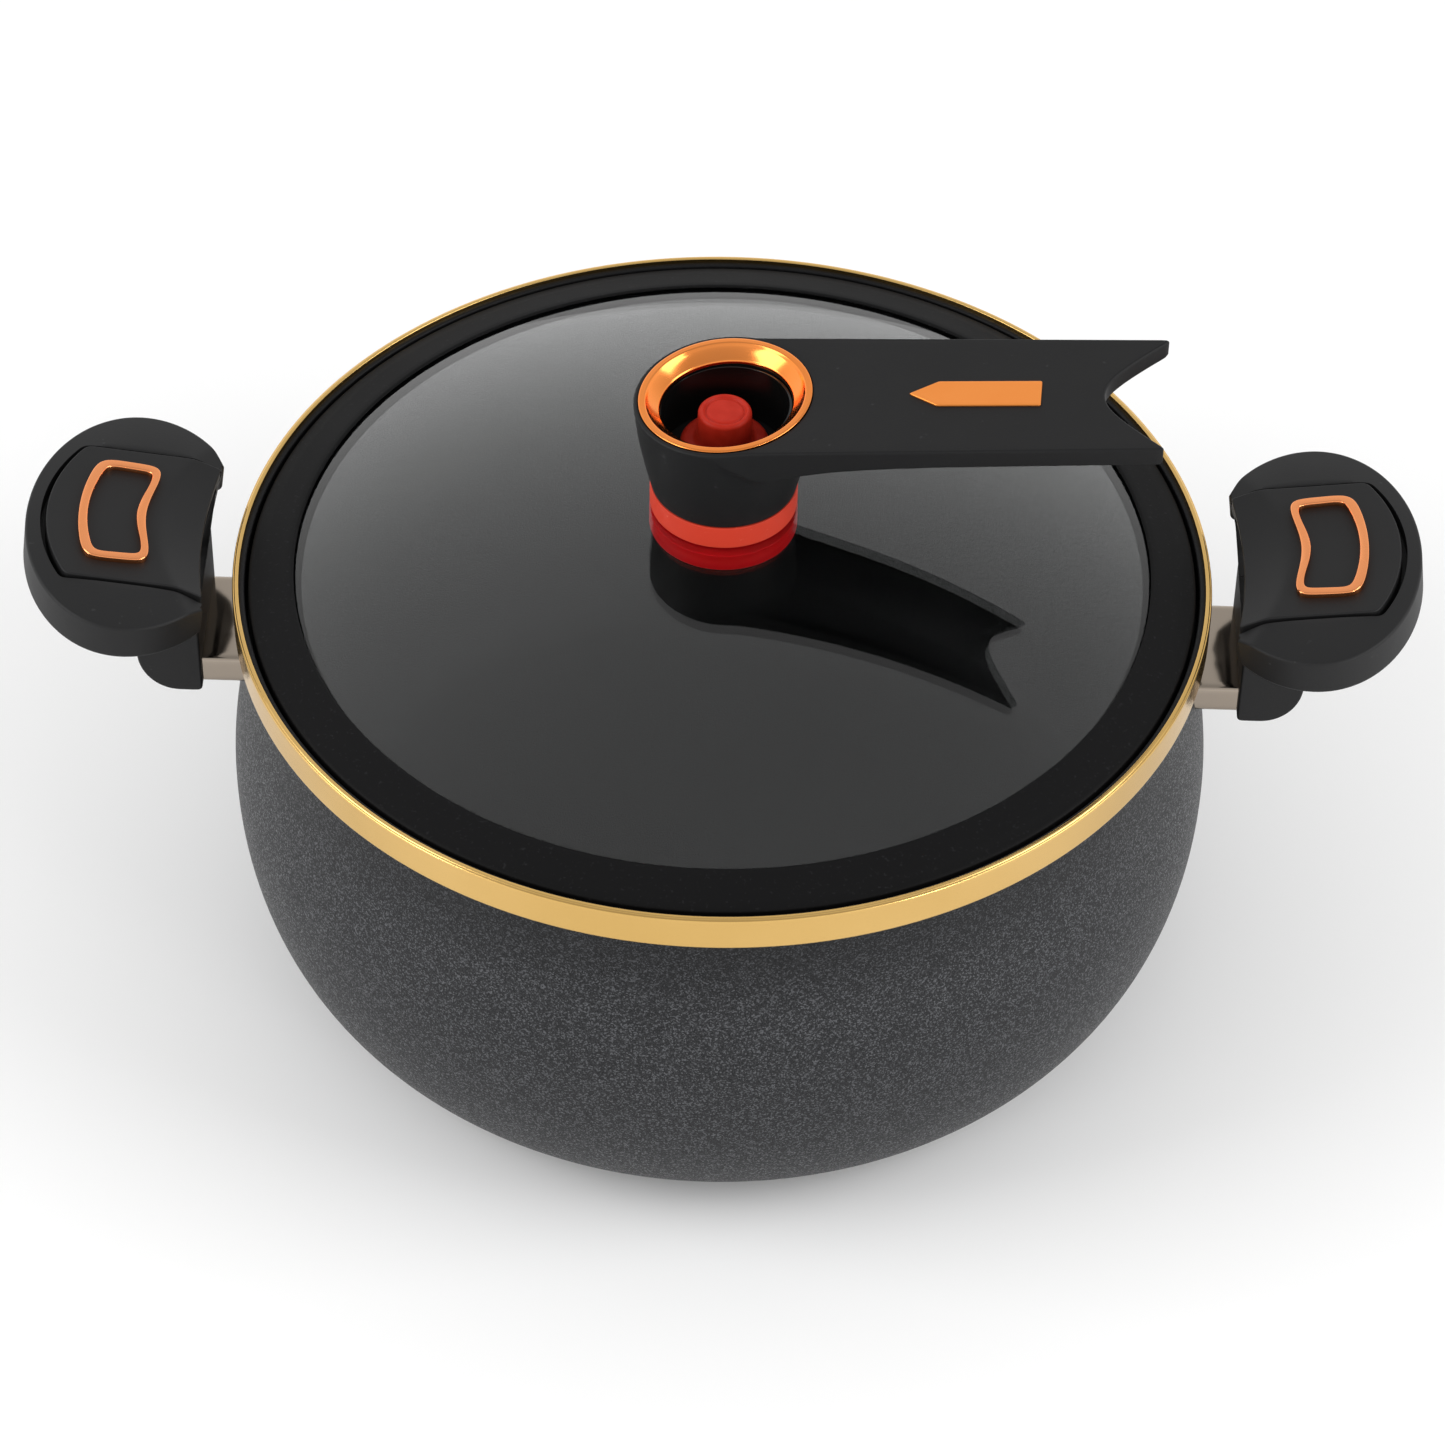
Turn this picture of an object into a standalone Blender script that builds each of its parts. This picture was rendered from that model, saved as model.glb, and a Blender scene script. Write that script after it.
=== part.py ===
"""Low-pressure stock pot with a glass lid, two sliding lid locks and a self-standing lid handle.

Frame: +Z is up, the origin is the centre of the base's underside, and the two side handles lie along X.
Heights named *_Z are measured from the ground. Heights in the profiles of the lid and of the side handles
are measured from the top of the rim, which is where those pieces are set out from.
"""

from math import atan2, cos, exp, pi, radians, sin, sqrt, tan

import bmesh
import bpy
from mathutils import Vector

MM = 0.001
GAP = 0.3 * MM  # between pieces that touch
PLAY = 0.4 * MM  # between pieces that slide on each other

# Pot
RIM_Z = 130.0 * MM
MOUTH_R = 134.0 * MM  # outside of the gold band
BAND_T = 0.9 * MM
BAND_H = 10.5 * MM
LIP_W = 1.8 * MM
COLLAR_T = 2.2 * MM
COLLAR_R = MOUTH_R - BAND_T - GAP  # outside of the collar under the band
LEDGE_W = 3.4 * MM
LEDGE_DEPTH = 8.5 * MM
WALL = 2.8 * MM
NECK_R = COLLAR_R - COLLAR_T - LEDGE_W + WALL
NECK_DROP = 11.5 * MM
BELLY_SWELL = 6.4 * MM  # how far the belly stands out beyond the neck
BELLY_R = NECK_R + BELLY_SWELL
BELLY_DROP = 66.0 * MM
FOOT_R = 95.0 * MM
FOOT_Z = 0.6 * MM
BELLY_POWER = 2.15  # 2 is an ellipse; more is fuller
FLOOR_T = 4.0 * MM
FLOOR_FILLET = 8.0 * MM
FOOT_RING = 9.0 * MM
PLATE_R = FOOT_R - FOOT_RING
PLATE_T = 2.5 * MM

# Lid
LID_TURN = radians(-3.5)
SEAL_PLAY = 0.9 * MM  # between the ring and the collar
SEAL_R = COLLAR_R - COLLAR_T - SEAL_PLAY
SEAL_W = 12.5 * MM
SEAL_INNER_R = SEAL_R - SEAL_W
SEAL_EDGE_DROP = 1.0 * MM
SEAL_INNER_RISE = 2.2 * MM
SKIRT_R = NECK_R - WALL - SEAL_PLAY
SKIRT_DROP = 11.0 * MM
GROOVE_DEPTH = 6.8 * MM
GLASS_T = 4.0 * MM
GLASS_R = SEAL_INNER_R + GROOVE_DEPTH
GLASS_EDGE_DROP = 1.83 * MM
DOME_R = 300.0 * MM
DOME_TOP = DOME_R - sqrt(DOME_R**2 - GLASS_R**2) - GLASS_EDGE_DROP  # glass apex above the rim

# Lid knob
KNOB_FOOT_R = 19.6 * MM
KNOB_MOUTH_R = 24.7 * MM
KNOB_H = 29.8 * MM
KNOB_FLOOR_T = 8.1 * MM
GASKET_R = 20.0 * MM
GASKET_T = 6.6 * MM  # at the middle of the dome
GASKET_TOP = DOME_TOP + GASKET_T
MOUTH_TOP = GASKET_TOP + KNOB_H  # centre of the cup's mouth
CUP_FLOOR = GASKET_TOP + GAP + KNOB_FLOOR_T
CUP_BORE_R = 18.3 * MM
LINER_T = 1.0 * MM
TILT = radians(5.6)  # the handle's top rises towards its tail
TRIM_R = 23.3 * MM
TRIM_LIP = 1.5 * MM
TRIM_HOLE_R = 17.7 * MM
TRIM_T = 0.9 * MM
TRIM_DROP = 2.8 * MM
TRIM_PROUD = 0.4 * MM

# Lid handle's arm, in its own tilted frame
ARM_REACH = 117.0 * MM
ARM_START = 6.0 * MM
ARM_SWELL_END = 18.0 * MM
ARM_SWELL_FADE = 14.0 * MM
ARM_ROOT_HALF = 23.9 * MM
ARM_TIP_HALF = 22.2 * MM
ARM_TIP_T = 5.3 * MM
ARM_ROOT_EXTRA = 6.0 * MM
NOTCH_DEPTH = 17.5 * MM
NOTCH_ROUND = 12.0 * MM
INLAY_START = 49.0 * MM
INLAY_LENGTH = 35.0 * MM
INLAY_POINT = 7.6 * MM
INLAY_HALF = 4.9 * MM
INLAY_T = 1.5 * MM
INLAY_PROUD = 0.5 * MM

# Vent and valve
TUBE_R = 5.0 * MM
TUBE_HOLE_R = TUBE_R + GAP
GLASS_HOLE_R = TUBE_R + 2 * GAP
VENT_R = 2.6 * MM
TUBE_TAIL = 1.5 * MM  # below the nut
FLANGE_R = 9.5 * MM
FLANGE_T = 2.0 * MM
SEAT_R = 4.2 * MM
SEAT_DEPTH = 1.6 * MM
VALVE_H = 13.7 * MM
BUTTON_R = 7.2 * MM
SHOULDER_R = 12.0 * MM
SHOULDER_H = 4.0 * MM
CAP_T = 3.0 * MM
WEIGHT_R = 5.5 * MM
STEM_R = 1.2 * MM
VALVE_LIFT = 3.0 * MM
CLIP_R = 3.6 * MM
CLIP_T = 1.0 * MM
LOWER_GASKET_R = 20.0 * MM
LOWER_GASKET_T = 5.0 * MM  # at its edge
WASHER_R = 19.3 * MM
WASHER_T = 0.9 * MM
NUT_FLATS = 17.0 * MM
NUT_H = 5.0 * MM

# Side handles, in the frame of the right-hand one
HANDLE_GAP = 9.0 * MM
SHELL_INNER_R = MOUTH_R + HANDLE_GAP  # arc round the pot's axis
SHELL_CENTRE = SHELL_INNER_R + 19.4 * MM
SHELL_OUT = 28.8 * MM  # from the centre to the outer end
SHELL_IN = 30.6 * MM  # the same ellipse's half-length towards the pot, before the arc cuts it
SHELL_HALF = 43.0 * MM
SHELL_BOTTOM = -3.2 * MM
SHELL_TOP = 9.5 * MM
GRIP_TILT = radians(7.5)  # the grip and all that slides in it rise away from the pot
SLAB_HALF = 26.0 * MM
SLAB_OUT = SHELL_CENTRE + SHELL_OUT - 5.5 * MM
SLAB_END_R = 47.0 * MM  # of the bowed outer end
SLAB_CORNER_R = 3.0 * MM
SLAB_END_PLAY = 1.4 * MM
SLAB_PROUD = 0.7 * MM
SLAB_TOP = SHELL_TOP + SLAB_PROUD
LOCK_TRAVEL = 14.0 * MM
CHANNEL_FLOOR = 1.7 * MM
TONGUE_BOTTOM = CHANNEL_FLOOR + GAP
TONGUE_T = 2.0 * MM
TONGUE_TOP = TONGUE_BOTTOM + TONGUE_T
TONGUE_INSET = 4.0 * MM  # each side of the tongue, inside the slab's edge
TONGUE_HALF = SLAB_HALF - TONGUE_INSET
TONGUE_END = SLAB_OUT - 3.8 * MM
FRAME_IN = SLAB_OUT - 29.7 * MM
FRAME_OUT = SLAB_OUT - 8.7 * MM
FRAME_IN_INSET = 7.5 * MM
FRAME_OUT_INSET = 6.8 * MM
FRAME_IN_BOW = 2.8 * MM
FRAME_OUT_BOW = 3.5 * MM
FRAME_W = 2.7 * MM
FRAME_T = 1.8 * MM
FRAME_CORNER_R = 3.4 * MM
NECK_IN = SHELL_INNER_R - 0.3 * MM
NECK_LENGTH = 17.5 * MM
NECK_OUT = NECK_IN + NECK_LENGTH
NECK_HALF = 19.0 * MM
NECK_ROUND_X = 11.0 * MM
NECK_ROUND_Z = 13.0 * MM
FERRULE_TOP = -24.6 * MM
FERRULE_H = 9.0 * MM
FERRULE_COVER = 1.7 * MM  # of the neck, below the ferrule
NECK_BOTTOM = FERRULE_TOP - FERRULE_H - FERRULE_COVER
FERRULE_HALF = 17.0 * MM
FERRULE_T = 1.2 * MM
FERRULE_END = NECK_IN + 5.7 * MM
STUD_R = 3.0 * MM
STUD_END = NECK_IN + 0.2 * MM
STUD_HOLE_R = 1.9 * MM
STUD_FLOOR = 1.0 * MM
SCREW_R = 1.6 * MM
SCREW_HEAD_R = 4.0 * MM
SCREW_HEAD_H = 2.4 * MM
SCREW_HEAD_X = NECK_IN + 9.8 * MM
SCREW_GRIP = 4.5 * MM  # of the screw, inside the stud
SLIDE_SCREW_X = TONGUE_END - 7.0 * MM
SLIDE_SCREW_R = 1.7 * MM
SLIDE_HEAD_R = 3.6 * MM
SLIDE_HEAD_H = 0.5 * MM
KEEPER_HALF_X = 4.6 * MM
KEEPER_HALF_Y = 7.0 * MM
KEEPER_T = 0.6 * MM
WEB_T = 1.2 * MM
WEB_BOTTOM = CHANNEL_FLOOR - WEB_T
SHELL_SCREW_X = NECK_IN + 8.7 * MM
SHELL_SCREW_Y = 13.0 * MM
SHELL_SCREW_R = 1.5 * MM
SHELL_SCREW_HEAD_R = 3.0 * MM
SHELL_SCREW_HEAD_H = 1.0 * MM
SHELL_SCREW_LENGTH = 14.0 * MM

BIG_SEGMENTS = 64
MID_SEGMENTS = 32
SMALL_SEGMENTS = 16
SCREW_SEGMENTS = 12


# Helpers: each makes one mesh object or changes one.


def clear_scene():
    for old in list(bpy.data.objects):
        bpy.data.objects.remove(old, do_unlink=True)


def material(name, colour, roughness, metallic=0.0):
    made = bpy.data.materials.new(name)
    made.use_nodes = True
    shader = made.node_tree.nodes["Principled BSDF"]
    shader.inputs["Base Color"].default_value = (*colour, 1)
    shader.inputs["Roughness"].default_value = roughness
    shader.inputs["Metallic"].default_value = metallic
    return made


def empty(name, location=(0, 0, 0), rotation=(0, 0, 0), parent=None):
    made = bpy.data.objects.new(name, None)
    bpy.context.scene.collection.objects.link(made)
    made.location = location
    made.rotation_euler = rotation
    made.parent = parent
    return made


def as_object(name, bm, finish, parent):
    """The bmesh as a smooth-shaded object with sharp edges kept."""
    bmesh.ops.remove_doubles(bm, verts=bm.verts, dist=1e-7)
    bmesh.ops.recalc_face_normals(bm, faces=bm.faces)
    mesh = bpy.data.meshes.new(name)
    bm.to_mesh(mesh)
    bm.free()
    mesh.shade_smooth()
    mesh.set_sharp_from_angle(angle=radians(35))
    if finish:
        mesh.materials.append(finish)
    made = bpy.data.objects.new(name, mesh)
    bpy.context.scene.collection.objects.link(made)
    made.parent = parent
    return made


def turned(name, profile, finish=None, parent=None, segments=MID_SEGMENTS, ring=False):
    """A turned piece. The profile is (radius, height) pairs; a ring's profile closes on itself,
    and any other starts and ends on the axis."""
    bm = bmesh.new()
    points = [bm.verts.new((r, 0, z)) for r, z in profile]
    pairs = list(zip(points, points[1:]))
    if ring:
        pairs.append((points[-1], points[0]))
    edges = [bm.edges.new(pair) for pair in pairs]
    geometry = points + edges
    bmesh.ops.spin(bm, geom=geometry, axis=(0, 0, 1), angle=2 * pi, steps=segments, use_merge=True)
    return as_object(name, bm, finish, parent)


def prism(name, outline, low, high, finish=None, parent=None):
    """An outline in X and Y, raised from one height to another."""
    bm = bmesh.new()
    face = bm.faces.new([bm.verts.new((x, y, low)) for x, y in outline])
    raised = bmesh.ops.extrude_face_region(bm, geom=[face])
    top = [part for part in raised["geom"] if isinstance(part, bmesh.types.BMVert)]
    bmesh.ops.translate(bm, verts=top, vec=(0, 0, high - low))
    return as_object(name, bm, finish, parent)


def block(name, low, high, finish=None, parent=None):
    """A box between two corners."""
    corners = [(low[0], low[1]), (high[0], low[1]), (high[0], high[1]), (low[0], high[1])]
    return prism(name, corners, low[2], high[2], finish, parent)


def lying(piece, origin):
    """Turns a piece made along Z so that its axis runs along +X from the given point."""
    piece.rotation_euler = (0, pi / 2, 0)
    piece.location = origin
    return piece


def change(piece, tool, operation="DIFFERENCE"):
    """Cuts a piece by a tool, or joins the tool to it. The tool isn't part of the object."""
    tool.hide_render = True
    tool.display_type = "WIRE"
    step = piece.modifiers.new(operation.lower(), "BOOLEAN")
    step.operation = operation
    step.object = tool
    step.solver = "EXACT"
    return piece


def arc(centre, radius, start, end, steps):
    """Points of a circular arc, both ends included. Angles are in radians."""
    angles = [start + (end - start) * i / steps for i in range(steps + 1)]
    return [(centre[0] + radius * cos(a), centre[1] + radius * sin(a)) for a in angles]


# Pot


def belly_radius(drop):
    """Outer radius of the pot's wall at a depth below the rim."""
    if drop <= BELLY_DROP:
        share = max(0.0, (drop - NECK_DROP) / (BELLY_DROP - NECK_DROP))
        return NECK_R + (BELLY_R - NECK_R) * (1 - cos(pi * share)) / 2
    share = min(1.0, (drop - BELLY_DROP) / (RIM_Z - FOOT_Z - BELLY_DROP))
    return FOOT_R + (BELLY_R - FOOT_R) * (1 - share**BELLY_POWER) ** (1 / BELLY_POWER)


def wall_points():
    """The wall's outer line from the neck to the foot, as (radius, height)."""
    upper = [NECK_DROP + (BELLY_DROP - NECK_DROP) * i / 5 for i in range(6)]
    points = [(belly_radius(drop), RIM_Z - drop) for drop in upper]
    depth = RIM_Z - FOOT_Z - BELLY_DROP
    for i in range(1, 8):
        angle = pi / 2 * i / 7
        across = cos(angle) ** (2 / BELLY_POWER)
        down = sin(angle) ** (2 / BELLY_POWER)
        points.append((FOOT_R + (BELLY_R - FOOT_R) * across, RIM_Z - BELLY_DROP - depth * down))
    return points


def inward(points, distance):
    """The same line moved towards the pot's inside, square to itself."""
    moved = []
    for i, (r, z) in enumerate(points):
        before, after = points[max(i - 1, 0)], points[min(i + 1, len(points) - 1)]
        along = Vector((after[0] - before[0], after[1] - before[1])).normalized()
        moved.append((r + along.y * distance, z - along.x * distance))
    return moved


def make_pot(finishes):
    """The hollow body with its lid ledge, the induction plate in its foot and the band round its mouth."""
    collar_in = COLLAR_R - COLLAR_T
    collar_top = RIM_Z - BAND_T - GAP
    outside = wall_points()
    ledge_z = RIM_Z - LEDGE_DEPTH
    floor_z = FOOT_Z + PLATE_T + FLOOR_T
    inside = [p for p in inward(outside, WALL) if floor_z < p[1] < ledge_z - 3 * MM]
    plate_top = PLATE_T + GAP
    profile = [(0, plate_top), (PLATE_R + GAP, plate_top), (PLATE_R + GAP, FOOT_Z)]
    profile += list(reversed(outside))
    profile += [(COLLAR_R, RIM_Z - BAND_H), (COLLAR_R, collar_top), (collar_in, collar_top)]
    profile += [(collar_in, ledge_z), (NECK_R - WALL, ledge_z)]
    profile += inside
    profile += [(inside[-1][0] - FLOOR_FILLET, floor_z), (0, floor_z)]
    turned("pot_body", profile, finishes["coating"], segments=BIG_SEGMENTS)

    turned(
        "base_plate",
        [(0, 0), (PLATE_R - 1 * MM, 0), (PLATE_R, 1 * MM), (PLATE_R, PLATE_T), (0, PLATE_T)],
        finishes["steel"],
        segments=BIG_SEGMENTS,
    )

    lip_in, band_in = MOUTH_R - LIP_W, MOUTH_R - BAND_T
    soft = 0.3 * MM
    band = [(lip_in, RIM_Z), (MOUTH_R - soft, RIM_Z), (MOUTH_R, RIM_Z - soft), (MOUTH_R, RIM_Z - BAND_H)]
    band += [(band_in, RIM_Z - BAND_H), (band_in, RIM_Z - BAND_T), (lip_in, RIM_Z - BAND_T)]
    turned("rim_band", band, finishes["gold"], segments=BIG_SEGMENTS, ring=True)


# Lid


def dome_top(radius):
    """Height of the glass's upper face above the rim."""
    return DOME_TOP - DOME_R + sqrt(DOME_R**2 - radius**2)


def dome_under(radius):
    """Height of the glass's lower face above the rim."""
    return DOME_TOP - DOME_R + sqrt((DOME_R - GLASS_T) ** 2 - radius**2)


def clamp_stack():
    """Heights under the glass: the gasket's edge and foot, the washer's top, the nut's top and foot."""
    gasket_top = dome_under(LOWER_GASKET_R) - GAP
    gasket_low = gasket_top - LOWER_GASKET_T
    washer_top = gasket_low - GAP
    nut_top = washer_top - WASHER_T - GAP
    return gasket_top, gasket_low, washer_top, nut_top, nut_top - NUT_H


def make_lid(finishes, lid):
    """The domed glass and the silicone ring that grips its edge and sits on the pot's ledge."""
    reach = [GLASS_HOLE_R + (GLASS_R - GLASS_HOLE_R) * i / 6 for i in range(7)]
    glass = [(r, dome_top(r)) for r in reach] + [(r, dome_under(r)) for r in reversed(reach)]
    turned("lid_glass", glass, finishes["glass"], lid, BIG_SEGMENTS, ring=True)

    groove_r = GLASS_R + GAP
    under_r = SEAL_INNER_R + 2.3 * MM
    seat = -LEDGE_DEPTH + GAP
    soft = 0.5 * MM
    seal = [(SEAL_R, seat), (SEAL_R, -SEAL_EDGE_DROP - soft), (SEAL_R - soft, -SEAL_EDGE_DROP)]
    seal += [(SEAL_INNER_R + soft, SEAL_INNER_RISE), (SEAL_INNER_R, SEAL_INNER_RISE - soft)]
    seal += [(SEAL_INNER_R, dome_top(SEAL_INNER_R) + GAP), (groove_r, dome_top(GLASS_R) + GAP)]
    seal += [(groove_r, dome_under(GLASS_R) - GAP), (under_r, dome_under(under_r) - GAP)]
    seal += [(under_r + 1 * MM, -SKIRT_DROP), (SKIRT_R - 1 * MM, -SKIRT_DROP), (SKIRT_R, seat)]
    turned("seal_ring", seal, finishes["silicone_black"], lid, BIG_SEGMENTS, ring=True)

    hole = TUBE_HOLE_R
    gasket = [(hole, dome_top(hole) + GAP), (GASKET_R, dome_top(GASKET_R) + GAP)]
    gasket += [(GASKET_R, GASKET_TOP), (hole, GASKET_TOP)]
    turned("knob_gasket", gasket, finishes["silicone_red"], lid, ring=True)

    under, low, washer_top, nut_top, nut_low = clamp_stack()
    ring = [(hole, low), (LOWER_GASKET_R, low), (LOWER_GASKET_R, under), (hole, dome_under(hole) - GAP)]
    turned("lower_gasket", ring, finishes["silicone_red"], lid, ring=True)

    washer_low = washer_top - WASHER_T
    washer = [(hole, washer_low), (WASHER_R, washer_low), (WASHER_R, washer_top), (hole, washer_top)]
    turned("clamp_washer", washer, finishes["steel"], lid, ring=True)

    corner = NUT_FLATS / sqrt(3)
    hexagon = arc((0, 0), corner, 0, 5 * pi / 3, 5)
    nut = prism("clamp_nut", hexagon, nut_low, nut_top, finishes["steel"], lid)
    nut_bore = [(0, nut_low - NUT_H), (hole, nut_low - NUT_H), (hole, nut_top + NUT_H), (0, nut_top + NUT_H)]
    change(nut, turned("nut_bore", nut_bore, parent=lid, segments=SMALL_SEGMENTS))


# Lid handle


def arm_half(reach):
    """Half-width of the arm at a distance from the knob's axis."""
    return ARM_ROOT_HALF + (ARM_TIP_HALF - ARM_ROOT_HALF) * reach / ARM_REACH


def arm_depth(reach):
    """Thickness of the arm, which swells where it meets the knob."""
    return ARM_TIP_T + ARM_ROOT_EXTRA * exp(-max(0.0, reach - ARM_SWELL_END) / ARM_SWELL_FADE)


def tail(across):
    """Where the forked tail ends, at a distance from the arm's middle line."""
    slope = sqrt((NOTCH_DEPTH + NOTCH_ROUND) ** 2 - NOTCH_ROUND**2) / ARM_TIP_HALF
    return ARM_REACH - NOTCH_DEPTH - NOTCH_ROUND + sqrt(NOTCH_ROUND**2 + (slope * across) ** 2)


def make_arm(parent):
    """The arm as a grid of stations, from inside the knob to the forked tail."""
    bm = bmesh.new()
    lengthwise, crosswise = 10, 12
    layers = []
    for under in (False, True):
        rows = []
        for i in range(lengthwise + 1):
            row = []
            for j in range(crosswise + 1):
                side = 2 * j / crosswise - 1
                reach = ARM_START + (tail(side * ARM_TIP_HALF) - ARM_START) * i / lengthwise
                half = arm_half(reach)
                height = -arm_depth(reach) if under else 1 * MM
                row.append(bm.verts.new((reach, side * half, height)))
            rows.append(row)
        layers.append(rows)
    top, low = layers
    for i in range(lengthwise):
        for j in range(crosswise):
            bm.faces.new((top[i][j], top[i + 1][j], top[i + 1][j + 1], top[i][j + 1]))
            bm.faces.new((low[i][j], low[i][j + 1], low[i + 1][j + 1], low[i + 1][j]))
    for i in range(lengthwise):
        for j in (0, crosswise):
            bm.faces.new((top[i][j], low[i][j], low[i + 1][j], top[i + 1][j]))
    for j in range(crosswise):
        for i in (0, lengthwise):
            bm.faces.new((top[i][j], top[i][j + 1], low[i][j + 1], low[i][j]))
    return as_object("arm_blank", bm, None, parent)


def inlay_outline(grow):
    """The pointer set into the arm: a bar with a point towards the knob, grown on every side."""
    half = INLAY_HALF + grow
    shoulder = INLAY_START + INLAY_POINT
    end = INLAY_START + INLAY_LENGTH + grow
    return [(INLAY_START - 1.5 * grow, 0), (shoulder, -half), (end, -half), (end, half), (shoulder, half)]


def make_lid_handle(finishes, lid):
    """The knob with its cup, the arm with its forked tail, and the trims set into them."""
    flat = empty("arm_frame", (0, 0, MOUTH_TOP), (0, -TILT, 0), lid)
    foot = GASKET_TOP + GAP
    high = MOUTH_TOP + 6 * MM
    steps = 4
    side = []
    for i in range(steps + 1):
        share = i / steps
        bulge = 0.9 * MM * sin(pi * share)
        radius = KNOB_FOOT_R + (KNOB_MOUTH_R - KNOB_FOOT_R) * share + bulge
        side.append((radius, foot + (MOUTH_TOP - foot) * share))
    knob = [(0, foot)] + side + [(KNOB_MOUTH_R, high), (0, high)]
    handle = turned("lid_handle", knob, finishes["moulding"], lid)
    change(handle, make_arm(flat), "UNION")

    reach = ARM_REACH + 20 * MM
    planer = block("top_plane", (-reach, -reach, 0), (reach, reach, 40 * MM), parent=flat)
    change(handle, planer)

    slope_r = TRIM_R - TRIM_LIP - TRIM_T
    low = -TRIM_DROP - TRIM_T - 1.3 * GAP
    brim = -TRIM_T - GAP
    seat = [(0, 9 * MM), (TRIM_R + GAP, 9 * MM), (TRIM_R + GAP, brim), (slope_r, brim)]
    seat += [(CUP_BORE_R, low), (0, low)]
    change(handle, turned("trim_seat", seat, parent=flat))
    bore = [(0, CUP_FLOOR), (CUP_BORE_R, CUP_FLOOR), (CUP_BORE_R, MOUTH_TOP), (0, MOUTH_TOP)]
    change(handle, turned("cup_bore", bore, parent=lid))
    hole_low, hole_high = foot - 5 * MM, CUP_FLOOR + 5 * MM
    hole = [(0, hole_low), (TUBE_HOLE_R, hole_low), (TUBE_HOLE_R, hole_high), (0, hole_high)]
    change(handle, turned("tube_hole", hole, parent=lid, segments=SMALL_SEGMENTS))
    pocket_floor = INLAY_PROUD - INLAY_T - GAP
    change(handle, prism("inlay_pocket", inlay_outline(GAP), pocket_floor, 3 * MM, parent=flat))

    trim = [(TRIM_R, -TRIM_T), (TRIM_R, TRIM_PROUD), (TRIM_R - TRIM_LIP, TRIM_PROUD)]
    trim += [(TRIM_HOLE_R, -TRIM_DROP), (TRIM_HOLE_R, -TRIM_DROP - TRIM_T), (slope_r, -TRIM_T)]
    turned("cup_trim", trim, finishes["copper"], flat, ring=True)

    liner_out = CUP_BORE_R - GAP
    liner_in = liner_out - LINER_T
    foot = CUP_FLOOR + GAP
    wall = [(liner_in, foot), (liner_out, foot), (liner_out, MOUTH_TOP), (liner_in, MOUTH_TOP)]
    liner = turned("cup_liner", wall, finishes["gloss_black"], lid, ring=True)
    cut_low = low - GAP
    change(liner, block("liner_top", (-reach, -reach, cut_low), (reach, reach, 30 * MM), parent=flat))

    low = INLAY_PROUD - INLAY_T
    prism("pointer_inlay", inlay_outline(0), low, INLAY_PROUD, finishes["copper"], flat)


# Vent and valve


def make_valve(finishes, lid):
    """The vent tube that clamps the knob to the glass, and the weighted valve that seals its top."""
    flange_low = CUP_FLOOR + GAP
    flange_top = flange_low + FLANGE_T
    tube_end = clamp_stack()[-1] - TUBE_TAIL
    tube = [(VENT_R, tube_end), (TUBE_R, tube_end), (TUBE_R, flange_low), (FLANGE_R, flange_low)]
    tube += [(FLANGE_R, flange_top), (SEAT_R, flange_top), (VENT_R, flange_top - SEAT_DEPTH)]
    turned("vent_tube", tube, finishes["steel"], lid, ring=True)

    foot = flange_top + GAP
    shoulder = foot + SHOULDER_H
    cavity_r = WEIGHT_R + GAP
    valve_top = foot + VALVE_H
    cavity_top = valve_top - CAP_T
    cap = [(0, valve_top - 0.3 * MM), (BUTTON_R - 1.9 * MM, valve_top - 0.3 * MM)]
    cap += [(BUTTON_R - 1.3 * MM, valve_top), (BUTTON_R - 0.5 * MM, valve_top)]
    cap += [(BUTTON_R, valve_top - 0.6 * MM), (BUTTON_R + 0.2 * MM, shoulder + 0.6 * MM)]
    cap += [(BUTTON_R + 0.8 * MM, shoulder), (SHOULDER_R - 1 * MM, shoulder - 0.4 * MM)]
    cap += [(SHOULDER_R, shoulder - 1.4 * MM), (SHOULDER_R, foot)]
    cap += [(cavity_r, foot), (cavity_r, cavity_top), (0, cavity_top)]
    turned("valve_cap", cap, finishes["silicone_red"], lid)

    plug_r = SEAT_R - 1.4 * GAP
    clip_top = tube_end - VALVE_LIFT - GAP
    stem_end = clip_top - 2 * CLIP_T - GAP
    core = [(0, cavity_top - GAP), (WEIGHT_R, cavity_top - GAP), (WEIGHT_R, foot + GAP), (plug_r, foot)]
    throat = flange_top - SEAT_DEPTH
    core += [(plug_r, flange_top), (VENT_R - 1.4 * GAP, throat), (STEM_R, throat - 1 * MM)]
    core += [(STEM_R, stem_end), (0, stem_end)]
    turned("valve_weight", core, finishes["steel"], lid, SMALL_SEGMENTS)

    clip_in, clip_low = STEM_R + GAP, clip_top - CLIP_T
    clip = [(clip_in, clip_low), (CLIP_R, clip_low), (CLIP_R, clip_top), (clip_in, clip_top)]
    turned("valve_clip", clip, finishes["steel"], lid, SMALL_SEGMENTS, ring=True)


# Side handles


def inner_arc(radius, half, steps):
    """Points of an arc round the pot's axis, from one side of a handle to the other."""
    angle = half / radius
    return arc((0, 0), radius, angle, -angle, steps)


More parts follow.
